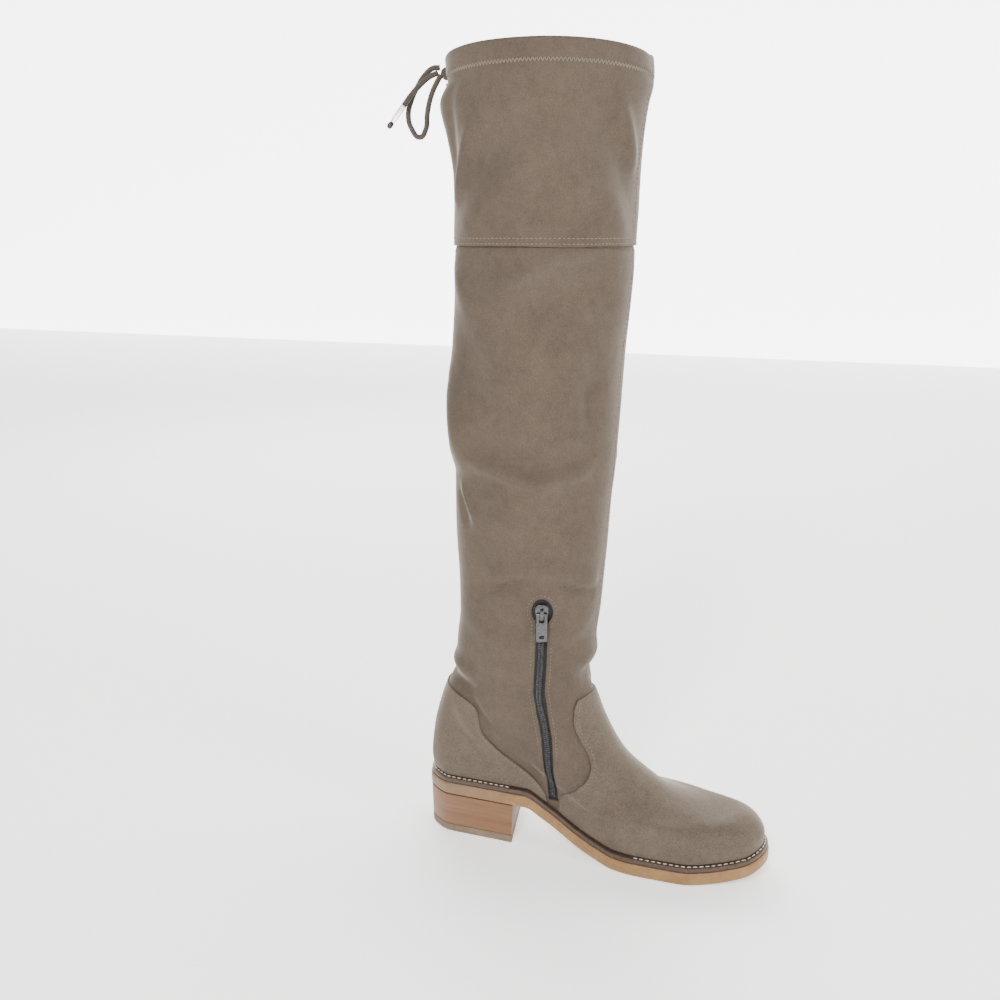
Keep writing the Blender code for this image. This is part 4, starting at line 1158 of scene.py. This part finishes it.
def make_seams():
    thread = (0.0024, 0.0007, 0.0006)
    panel_out = GAP + WALL
    lap = float(skin(np.array(0.0), np.array(shaft_ring(KNEE_SEAM - SEAM_LAP / SHAFT_RISE)))[2])
    rows = []

    def on_upper(height):
        return 0.0

    def on_panel(height):
        return panel_out + float(knee_dip((height - lap) / KNEE_FADE))

    for lift in KNEE_ROWS:
        line = level_line(lap + lift, on_panel(lap + lift))
        rows.append(row_of("stitch", evenly(line, SEAM_PITCH), thread))
    for aside in FRONT_ROWS:
        for low, high, out in ((FRONT_FOOT, lap - 0.004, on_upper),
                               (lap + SEAM_LAP, FRONT_TOP, on_panel)):
            line = upright_line(math.pi, low, high, out, aside)
            rows.append(row_of("stitch", evenly(line, SEAM_PITCH), thread))
    hem_low = BOOT_HEIGHT - RIM_CROWN - HEM_HEIGHT
    places = []
    for turn in np.arange(0, 360.1, 2.0):
        angle = math.radians(turn)
        places.append(on_leather(angle, hem_low - 0.0006 + RIM_CROWN * abs(math.sin(angle)),
                                 panel_out))
    rows.append(row_of("stitch", evenly(places, HEM_PITCH), HEM_STITCH, HEM_LEAN))
    join_rows("shaft_stitches", rows, SUEDE_THREAD, "boot", "shaft_suede")
    rows = []
    skin_top = GAP + OVERLAY
    for medial in (True, False):
        for table, inward in ((VAMP_EDGE, 0.0018), (COUNTER_EDGE, -0.0018)):
            line = [spot for spot in inner_edge(table, inward)
                    if spot[1] > sole_top(spot[0]) + EDGE_CLEARANCE]
            if table is VAMP_EDGE:
                line = line[:-1]
            places = evenly(side_line(line, skin_top, medial), OVERLAY_PITCH)
            rows.append(row_of("stitch", places, OVERLAY_STITCH))
    join_rows("foot_stitches", rows, SUEDE_THREAD, "boot", "foot_suede")
    slot = np.array(slot_outline())
    middle = slot.mean(axis=0)
    ahead = np.gradient(slot, axis=0)
    ahead /= np.linalg.norm(ahead, axis=1, keepdims=True)
    around = slot + np.column_stack([ahead[:, 1], -ahead[:, 0]]) * 0.0026
    around = around[around[:, 1] > sole_top(middle[0]) + 0.012]
    join_rows("zip_stitches", [row_of("stitch", evenly(side_line(around, 0.0, True), 0.0029),
                                      (0.0021, 0.0005, 0.0004))], SUEDE_THREAD, "boot",
              "shaft_suede")


def make_welt_stitches():
    """Pale stitches round the heel and the forefoot, with none at the waist."""
    rows = []
    for low, high in ((108.0, 268.0), (298.0, 425.0)):
        places = []
        for turn in np.arange(low, high, 1.0):
            angle = np.array([math.radians(turn % 360)])
            x, y = sole_edge(angle, 0.0031)[0]
            places.append((Vector((x, y, float(sole_top(x)) + GAP + WELT)), Vector((0, 0, 1))))
        rows.append(row_of("stitch", evenly(places, 0.0044), (0.0036, 0.0012, 0.0010), 0.12))
    join_rows("welt_stitches", rows, PALE_THREAD, "boot", "welt")


# The zip
def make_zip():
    rows = []
    low = ZIP_FOOT + 0.003
    high = ZIP_TOP - SLIDER_LENGTH / 2 - GAP
    centre = zip_points(low, high, 60)
    for aside, slot_shift in ((-0.0010, 0.0), (0.0010, 0.5)):
        line = side_line(centre + np.array([aside, 0.0]), -0.0004, True)
        spots = evenly(line, 0.00165)
        places = spots[0] + spots[2] * slot_shift
        rows.append(row_of("tooth", (places, spots[1], spots[2]), (0.00092, 0.0021, 0.0013)))
    join_rows("zip_teeth", rows, GUNMETAL, "boot", "zip_metal", "zip_chain")
    shade(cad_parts["zip_tape"], TAPE_CLOTH)
    refined("zip_slider", "slider", GUNMETAL, "zip_metal", bevel=0.0004)
    refined("zip_pull", "pull_tab", GUNMETAL, "zip_metal", body="pull", bevel=0.00025)


# The drawstring bow
def cord_curve(name, route, middle):
    """A limp cord through its points."""
    curve = bpy.data.curves.new(name, "CURVE")
    curve.dimensions = "3D"
    curve.bevel_depth = CORD / 2
    curve.bevel_resolution = 4
    curve.use_fill_caps = True
    curve.resolution_u = 8
    spline = curve.splines.new("BEZIER")
    spline.bezier_points.add(len(route) - 1)
    for point, place in zip(spline.bezier_points, route):
        point.co = middle + Vector(place)
        point.handle_left_type = point.handle_right_type = "AUTO"
    made = bpy.data.objects.new(name, curve)
    bpy.context.collection.objects.link(made)
    shade(made, CORD_SUEDE)
    ride_on(made, "boot", "cord", name.replace("_cord", ""))
    return made, spline.calc_length()


def make_tip(name, route, middle, node_name):
    """A clear sleeve crimped on the cord's end, with a dark bead below it."""
    radius = CORD / 2
    bead = AGLET_LENGTH + BEAD_LENGTH
    profile = ((0.0, 0.0), (radius * 0.96, 0.0), (radius * 1.04, 0.0006),
               (radius, AGLET_LENGTH * 0.5), (radius * 1.02, AGLET_LENGTH * 0.8),
               (radius * 0.7, AGLET_LENGTH * 0.93), (radius * 0.55, AGLET_LENGTH),
               (radius * 0.9, AGLET_LENGTH + BEAD_LENGTH * 0.12),
               (radius * 1.05, AGLET_LENGTH + BEAD_LENGTH * 0.35),
               (radius * 1.05, AGLET_LENGTH + BEAD_LENGTH * 0.65),
               (radius * 0.8, bead - BEAD_LENGTH * 0.1), (radius * 0.45, bead), (0.0, bead))
    made, u, v = sheet(name, 28, len(profile) - 1)
    row = np.rint(v * (len(profile) - 1)).astype(int)
    reach = np.array([step[0] for step in profile])[row]
    along = np.array([step[1] for step in profile])[row]
    ahead = (Vector(route[-1]) - Vector(route[-2])).normalized()
    turn = ahead.to_track_quat("Z", "Y").to_matrix()
    local = np.column_stack([reach * np.cos(2 * math.pi * u), reach * np.sin(2 * math.pi * u),
                             along])
    start = np.array(middle + Vector(route[-1]) + ahead * GAP)
    place_points(made, local @ np.array(turn).T + start)
    merge(made, 1e-6)
    shade(made, CLEAR_SLEEVE, DARK_BEAD)
    below = start + np.array(ahead) * AGLET_LENGTH
    for face in made.data.polygons:
        if (np.array(face.center) - below) @ np.array(ahead) > 0:
            face.material_index = 1
    smooth_shade(made, 50.0)
    ride_on(made, "boot", "cord_tip", node_name)
    return made


def make_knot(middle):
    """The knot: the cord's wraps pulled tight over a small core."""
    deselect()
    bpy.ops.mesh.primitive_uv_sphere_add(segments=32, ring_count=20, radius=0.5)
    core = bpy.context.active_object
    for vert in core.data.vertices:
        x, y, z = vert.co
        vert.co = (x * KNOT_DEPTH * 0.9, y * KNOT_WIDTH * 0.88, z * KNOT_HEIGHT * 0.9)
    core.location = middle
    parts = [core]
    for tilt, push, size in ((0.25, -0.0020, 0.0029), (-0.15, 0.0002, 0.0031),
                             (0.10, 0.0023, 0.0028)):
        bpy.ops.mesh.primitive_torus_add(major_radius=size, minor_radius=0.0015,
                                         major_segments=28, minor_segments=12,
                                         location=middle + Vector((0, push, 0)),
                                         rotation=(math.pi / 2 + tilt, 0.12, 0.0))
        parts.append(bpy.context.active_object)
    deselect()
    for part in parts:
        part.select_set(True)
    bpy.context.view_layer.objects.active = core
    bpy.ops.object.join()
    knot = bpy.context.active_object
    knot.name = "knot_wraps"
    bpy.ops.object.transform_apply(location=True, rotation=True, scale=True)
    smooth_shade(knot, 60.0)
    shade(knot, CORD_SUEDE)
    ride_on(knot, "boot", "cord", "bow_knot")
    return knot


def make_bow():
    middle = knot_place()
    knot = make_knot(middle)
    for name, route, stays in (("bow_loop_medial", LOOP_MEDIAL, [knot]),
                               ("bow_loop_lateral", LOOP_LATERAL, [])):
        loop, length = cord_curve(name + "_cord", route, middle)
    for side, route in (("medial", END_MEDIAL), ("lateral", END_LATERAL)):
        tip = make_tip("tip_" + side, route, middle, "cord_tip_" + side)
        end, length = cord_curve("bow_end_" + side + "_cord", route, middle)


# Floor, light and camera
def add_light(name, place, aim, size, power):
    data = bpy.data.lights.new(name, "AREA")
    data.shape = "DISK"
    data.size = size
    data.energy = power
    lamp = bpy.data.objects.new(name, data)
    lamp.location = place
    way = Vector(aim) - Vector(place)
    lamp.rotation_euler = way.to_track_quat("-Z", "Y").to_euler()
    bpy.context.collection.objects.link(lamp)


# Stage and lights: name, place, size and power of each light, aimed at the boot's middle
BOOT_MIDDLE = (0.05, 0.0, 0.3)
LIGHTS = (
    ("key light", (0.15, -1.75, 1.5), 0.5, 46.0),
    ("front light", (1.7, -0.5, 0.9), 0.7, 14.0),
    ("back light", (-0.9, 1.5, 1.4), 1.2, 30.0),
)
FLOOR_SIZE = 9.0
FLOOR_GLOW = 0.7
BACKDROP_PLACE = (0, 3.5, 1.5)
BACKDROP_SIZE = (12.0, 7.0, 1.0)
BACKDROP_GLOW = 5.0
SKY_STRENGTH = 0.5
CAMERA_PLACE = (0.3177, -0.7725, 0.4678)
CAMERA_WAY = (-0.352, 0.906, -0.234)
CAMERA_LENS = 40.4


def make_stage():
    deselect()
    bpy.ops.mesh.primitive_plane_add(size=FLOOR_SIZE, location=(0, 0, 0))
    floor = bpy.context.active_object
    floor.name = "floor"
    paper = bpy.data.materials.new("pale paper")
    paper.use_nodes = True
    shader = paper.node_tree.nodes["Principled BSDF"]
    shader.inputs["Base Color"].default_value = tone(0.95, 0.945, 0.94)
    shader.inputs["Roughness"].default_value = 0.9
    shader.inputs["Emission Color"].default_value = tone(1.0, 0.995, 0.985)
    shader.inputs["Emission Strength"].default_value = FLOOR_GLOW
    floor.data.materials.append(paper)
    bpy.ops.mesh.primitive_plane_add(
        size=1.0, location=BACKDROP_PLACE, rotation=(math.pi / 2, 0, 0))
    wall = bpy.context.active_object
    wall.name = "backdrop"
    wall.scale = BACKDROP_SIZE
    glow = bpy.data.materials.new("white backdrop")
    glow.use_nodes = True
    shader = glow.node_tree.nodes["Principled BSDF"]
    shader.inputs["Emission Color"].default_value = tone(1.0, 1.0, 1.0)
    shader.inputs["Emission Strength"].default_value = BACKDROP_GLOW
    wall.data.materials.append(glow)
    world = bpy.data.worlds.new("studio")
    world.use_nodes = True
    sky = world.node_tree.nodes["Background"]
    sky.inputs["Color"].default_value = tone(1.0, 0.99, 0.975)
    sky.inputs["Strength"].default_value = SKY_STRENGTH
    bpy.context.scene.world = world
    for name, place, size, power in LIGHTS:
        add_light(name, place, BOOT_MIDDLE, size, power)


def make_camera():
    data = bpy.data.cameras.new("camera")
    data.sensor_width = 36.0
    data.lens = CAMERA_LENS
    data.clip_start = 0.05
    camera = bpy.data.objects.new("camera", data)
    camera.location = CAMERA_PLACE
    way = Vector(CAMERA_WAY)
    camera.rotation_euler = way.to_track_quat("-Z", "Y").to_euler()
    bpy.context.collection.objects.link(camera)
    bpy.context.scene.camera = camera


make_camera()
make_bow()
make_sole()
make_heel()
make_upper()
make_thigh_panel()
make_overlays()
make_seams()
make_welt_stitches()
make_zip()
make_stage()
